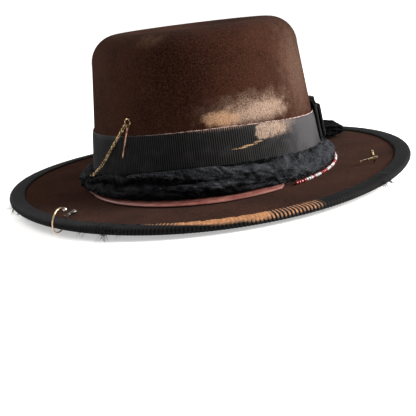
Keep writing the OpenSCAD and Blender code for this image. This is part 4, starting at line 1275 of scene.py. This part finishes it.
def addCross():
    foot = brimFrame(deg(pin["at"]), edgeOff - pin["inset"], 0.3)
    place = foot @ Matrix.Rotation(deg(pin["yaw"]), 4, "Z") @ Matrix.Rotation(deg(-pin["lean"]), 4, "Y")
    work = bmesh.new()
    half = pin["thick"] / 2
    height = pin["bar"] * 0.37
    for low, high in (
        ((-half, -half, 0), (half, half, pin["bar"])),
        ((-pin["arm"], -half, height - half), (pin["past"], half, height + half)),
    ):
        box = bmesh.ops.create_cube(work, size=1)["verts"]
        for v in box:
            for k in range(3):
                v.co[k] = low[k] if v.co[k] < 0 else high[k]
    bmesh.ops.bevel(work, geom=work.edges[:], offset=pin["bevel"], segments=3, affect="EDGES", profile=0.6)
    # the pointed stem
    rings = []
    radius, sides = pin["stem"] / 2, pin["sides"]
    turns = np.linspace(0, 2 * np.pi, sides, endpoint=False)
    for z, r in ((-pin["reach"], radius * 0.15), (-pin["reach"] + 0.8, radius), (0.4, radius)):
        rings.append([work.verts.new((r * math.cos(a), r * math.sin(a), z)) for a in turns])
    for a, b in zip(rings, rings[1:]):
        for i in range(sides):
            work.faces.new((a[i], a[(i + 1) % sides], b[(i + 1) % sides], b[i]))
    work.faces.new(rings[0][::-1])
    work.faces.new(rings[-1])
    work.transform(Matrix.Scale(mm, 4) @ place)
    mesh = bpy.data.meshes.new("crossPin")
    work.to_mesh(mesh)
    work.free()
    piece = bpy.data.objects.new("crossPin", mesh)
    bpy.context.collection.objects.link(piece)
    finishPiece(piece, gold, "cross", ("cross_pin",))


addCross()
print("metal done")

# ---- sweatband and lining ----
inside = {
    "lining": 0.5, "reed": 2.0, "sweatHigh": 36, "sweatThick": 1.2, "stitches": 64, "liningLow": 22,
    "tipDrop": 5, "piping": 1.8, "seamIn": 9, "around": 480,
    "sideFlat": (0.56, 0.085), "tipFlat": (0.175, 0.145),
    "leather": (0.10, 0.045, 0.022), "leatherDark": (0.035, 0.015, 0.008),
    "satin": (0.028, 0.020, 0.018), "satinLit": (0.075, 0.055, 0.045),
}
shoulderZ = hat["high"] - hat["shoulder"]
tipZ = hat["high"] - hat["dish"] - hat["felt"] - inside["tipDrop"]
sweatLow = inside["reed"] + 2 * hat["gap"]
ringT = np.arange(inside["around"]) * 2 * np.pi / inside["around"]


def liningFace(t, z):
    return -z * lean(t) - hat["gap"]


def sweatFace(t, z):
    return liningFace(t, z) - inside["lining"] - hat["gap"]


def leatherPaint():
    p = Paint("sweatLeather", Roughness=0.45, Specular_IOR_Level=0.4)
    at = p.place()
    tone = p.span(p.noise(14, at, 3), 0.3, 0.7)
    colour = p.mix(tone, inside["leatherDark"], inside["leather"])
    stain = p.span(p.noise(30, at, 3), 0.5, 0.7)
    colour = p.mix(p.times(stain, 0.5), colour, inside["leatherDark"])
    return p.finish(colour, p.span(tone, 0, 1, 0.55, 0.38), p.bump(p.cells(0.9, at), 0.12, 0.35))


def satinPaint():
    p = Paint("liningSatin", Roughness=0.38, Sheen_Weight=0.15, Anisotropic=0.4)
    at = p.place()
    thread = p.noise(0.5, p.place((1, 1, 0.15)), 3, 0.6)
    broad = p.span(p.noise(22, at, 3), 0.35, 0.7)
    colour = p.mix(broad, inside["satin"], inside["satinLit"])
    normal = p.bump(thread, 0.08, 0.4, p.bump(p.noise(9, at, 2), 0.6, 0.3))
    return p.finish(colour, p.span(thread, 0.3, 0.7, 0.3, 0.45), normal)


def addSweatband():
    t = ringT
    rows = []
    heights = np.linspace(0, 1, 16)
    for face in (1, 0):
        for s in heights if face else heights[::-1]:
            z = sweatLow + inside["sweatHigh"] * s
            d = sweatFace(t, z) - inside["sweatThick"] * face
            spots = hatPoint(t, d, z)
            roll = 0.35 * face * (s == 1)
            wave = -0.3 * np.abs(softNoise(spots, 13, 17)) * face * np.sin(np.pi * s)
            rows.append(hatPoint(t, d + roll + wave, z - 0.2 * face * (s == 1)))
    gridPiece(
        "sweatLeather", np.array(rows), leatherPaint(), "sweat_leather", across=True, stands=("sweatband",))
    # the reed in its rolled edge
    q = np.linspace(0, 2 * np.pi, 14, endpoint=False)
    r = inside["reed"] / 2
    rows = [hatPoint(t, -hat["gap"] - r + r * np.sin(a), hat["gap"] + r - r * np.cos(a)) for a in q]
    p = Paint("reed", Roughness=0.3, Specular_IOR_Level=0.5)
    tone = p.span(p.noise(5, None, 3), 0.3, 0.7)
    paint = p.finish(p.mix(tone, (0.5, 0.45, 0.36), (0.62, 0.58, 0.5)), p.span(tone, 0, 1, 0.25, 0.4))
    gridPiece("reedTube", np.array(rows), paint, "reed_plastic", across=True, stands=("sweatband_reed",))
    bundle = Bundle()
    z = sweatLow + 1.8
    for i in range(inside["stitches"]):
        middle = (i + 0.5) * 2 * np.pi / inside["stitches"]
        s = np.linspace(-1, 1, 7)
        a = middle + s * 2.1 / 92
        d = sweatFace(a, z) - inside["sweatThick"] - hat["gap"] - 0.1 - 0.25 * (1 - s * s) + 0.3 * s ** 6
        bundle.addGrid(tubeGrid(hatPoint(a, d, z + 0.25 * s), 0.25, 6))
    tan = threadPaint("tanThread", (0.16, 0.10, 0.05), (0.36, 0.25, 0.14))
    bundle.piece("sweatStitching", tan, "tan_thread", stands=("sweatband_stitches",))


def addSweatBow():
    z = sweatLow + 10
    t = math.pi
    n = outDir(np.array(t))
    foot = Matrix.Translation(Vector(hatPoint(t, sweatFace(t, z) - inside["sweatThick"], z)))
    turn = Matrix.Rotation(math.atan2(n[1], n[0]), 4, "Z")
    tip = Matrix.Rotation(-math.atan(float(lean(t))), 4, "Y")
    place = foot @ (turn @ tip)
    bundle = Bundle()
    k = np.linspace(0, 1, 24)
    for side in (-1, 1):
        y = side * (0.6 + 8.6 * k)
        half = 1.6 + 1.3 * k
        curl = 0.45 * np.sin(np.pi * k)
        rows = []
        for share in (-1, -0.5, 0, 0.5, 1, 0.5, 0, -0.5):
            back = 0.5 if len(rows) >= 5 else 0
            hang = 0.12 * k * 9 * 0.3
            rows.append(np.stack([-1.5 - curl + 0.15 * np.cos(share * 5) + back, y, share * half - hang], 1))
        bundle.addGrid(np.array(rows), acrossClosed=True, aroundClosed=False)
    q = np.linspace(0, 2 * np.pi, 20, endpoint=False)
    x, y = -1.7 + 0.9 * np.cos(q), 1.7 * np.sin(q)
    rows = [np.stack([x, y, 0 * q + h * (2.1 - 0.3 * abs(h))], 1) for h in np.linspace(-1, 1, 7)]
    bundle.addGrid(np.array(rows))
    bundle.points = [moved(points, place) for points in bundle.points]
    marks = {"ridge": np.zeros(bundle.count) + 0.5}
    piece = bundle.piece("sweatBow", bowPaint, "bow_ribbon", stands=("sweatband_bow",), marks=marks)


def addLining():
    t = ringT
    satin = satinPaint()
    turnZ = shoulderZ - 4
    seam = -shoulderZ * lean(t) - inside["seamIn"]
    rows = []
    for k in np.linspace(0, 1, 26):
        z = inside["liningLow"] + (turnZ - inside["liningLow"]) * k
        pleat = 0.35 * np.abs(np.sin(t * 38)) * k * k
        rows.append(hatPoint(t, liningFace(t, z) - inside["lining"] / 2 - pleat - 0.1, z))
    for k in np.linspace(0, 1, 9)[1:]:
        z = turnZ + (tipZ - inside["piping"] / 2 - hat["gap"] - turnZ) * k
        pleat = 0.35 * np.abs(np.sin(t * 38))
        wall = liningFace(t, turnZ) - inside["lining"] / 2 - 0.1
        rows.append(hatPoint(t, wall + (seam - wall) * k ** 1.4 - pleat, z))
    side = gridPiece("liningSide", np.array(rows), satin, "satin", stands=("lining_side",))
    solidify(side, inside["lining"], 0)
    rim = seam - inside["piping"] / 2 - hat["gap"]
    ring = hatPoint(t, rim, tipZ)
    rows = []
    for k in (0.001, 0.08, 0.2, 0.35, 0.5, 0.65, 0.8, 0.9, 0.97, 1.0):
        flat = ring * np.array([k, k, 1])
        flat[:, 2] += 0.5 * softNoise(flat, 18, 18) * (1 - k ** 4) - 0.15 * np.abs(np.sin(t * 30)) * k ** 3
        rows.append(flat)
    top = gridPiece("liningTip", np.array(rows), satin, "satin", weld=True, stands=("lining_tip",))
    solidify(top, inside["lining"], 0)
    rows = []
    for a in np.linspace(0, 2 * np.pi, 12, endpoint=False):
        r = inside["piping"] / 2 * (1 + 0.1 * np.sin(t * 150 + a * 2))
        rows.append(hatPoint(t, seam + r * np.sin(a), tipZ - r * np.cos(a)))
    paint = threadPaint("pipingCloth", (0.10, 0.055, 0.02), (0.24, 0.15, 0.06), 0.7)
    gridPiece("liningPiping", np.array(rows), paint, "piping_cord", across=True, stands=("lining_piping",))


addSweatband()
addSweatBow()
addLining()
print("inside done")

# ---- floor and light ----
studio = {
    "floor": (0.86, 0.855, 0.84), "glow": 0.42, "sky": (1.0, 1.0, 1.0), "skyStrength": 0.36,
    "floorFrom": -2.5, "floorTo": 1.6, "floorBend": 0.8,
    # name, place, size, watts, colour
    "lamps": (
        ("keyRight", (1.0, -0.25, 0.5), 0.6, 33, (1.0, 0.98, 0.96)),
        ("fillLeft", (-0.9, -0.7, 0.7), 1.0, 0.8, (0.96, 0.98, 1.0)),
        ("backLeft", (-0.75, 0.6, 0.75), 0.7, 9, (1.0, 0.99, 0.97)),
    ),
}


def addStudio():
    lowest = min(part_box(n)[0].z for n in ("pin_clutch", "brim_binding", "hoop_ring"))
    k = np.linspace(-3, 3, 25)
    to, bend = studio["floorTo"], studio["floorBend"]
    turn = np.linspace(0.1, np.pi / 2, 12)
    # flat under the hat, then a curve up to a wall behind it
    depth = np.concatenate([np.linspace(studio["floorFrom"], to, 20), to + bend * np.sin(turn), [2.4, 2.4]])
    rise = np.concatenate([np.zeros(20), bend * (1 - np.cos(turn)), [1.8, 3.2]])
    rows = [np.stack([k, 0 * k + y, 0 * k + z + lowest - 0.0005], 1) for y, z in zip(depth, rise)]
    mesh = bpy.data.meshes.new("floor")
    mesh.from_pydata(np.vstack(rows).tolist(), [], gridFaces(len(rows), len(k), False, False).tolist())
    mesh.polygons.foreach_set("use_smooth", [True] * len(mesh.polygons))
    floor = bpy.data.objects.new("floor", mesh)
    bpy.context.collection.objects.link(floor)
    p = Paint("floor", Roughness=0.9, Emission_Strength=studio["glow"])
    p.shader.inputs["Emission Color"].default_value = (1, 1, 1, 1)
    tone = p.span(p.noise(300, None, 2), 0.3, 0.7)
    mesh.materials.append(p.finish(p.mix(tone, studio["floor"], tuple(1.02 * c for c in studio["floor"]))))
    world = bpy.data.worlds.new("studio")
    bpy.context.scene.world = world
    world.use_nodes = True
    sky = world.node_tree.nodes["Background"]
    sky.inputs[0].default_value = (*studio["sky"], 1)
    sky.inputs[1].default_value = studio["skyStrength"]
    for name, place, size, watts, colour in studio["lamps"]:
        data = bpy.data.lights.new(name, "AREA")
        data.size, data.energy, data.color = size, watts, colour
        lamp = bpy.data.objects.new(name, data)
        lamp.location = place
        lamp.rotation_euler = (Vector((0, 0, 0.04)) - Vector(place)).to_track_quat("-Z", "Y").to_euler()
        bpy.context.collection.objects.link(lamp)


addStudio()
bpy.context.scene.view_settings.view_transform = "Standard"
print("studio done")
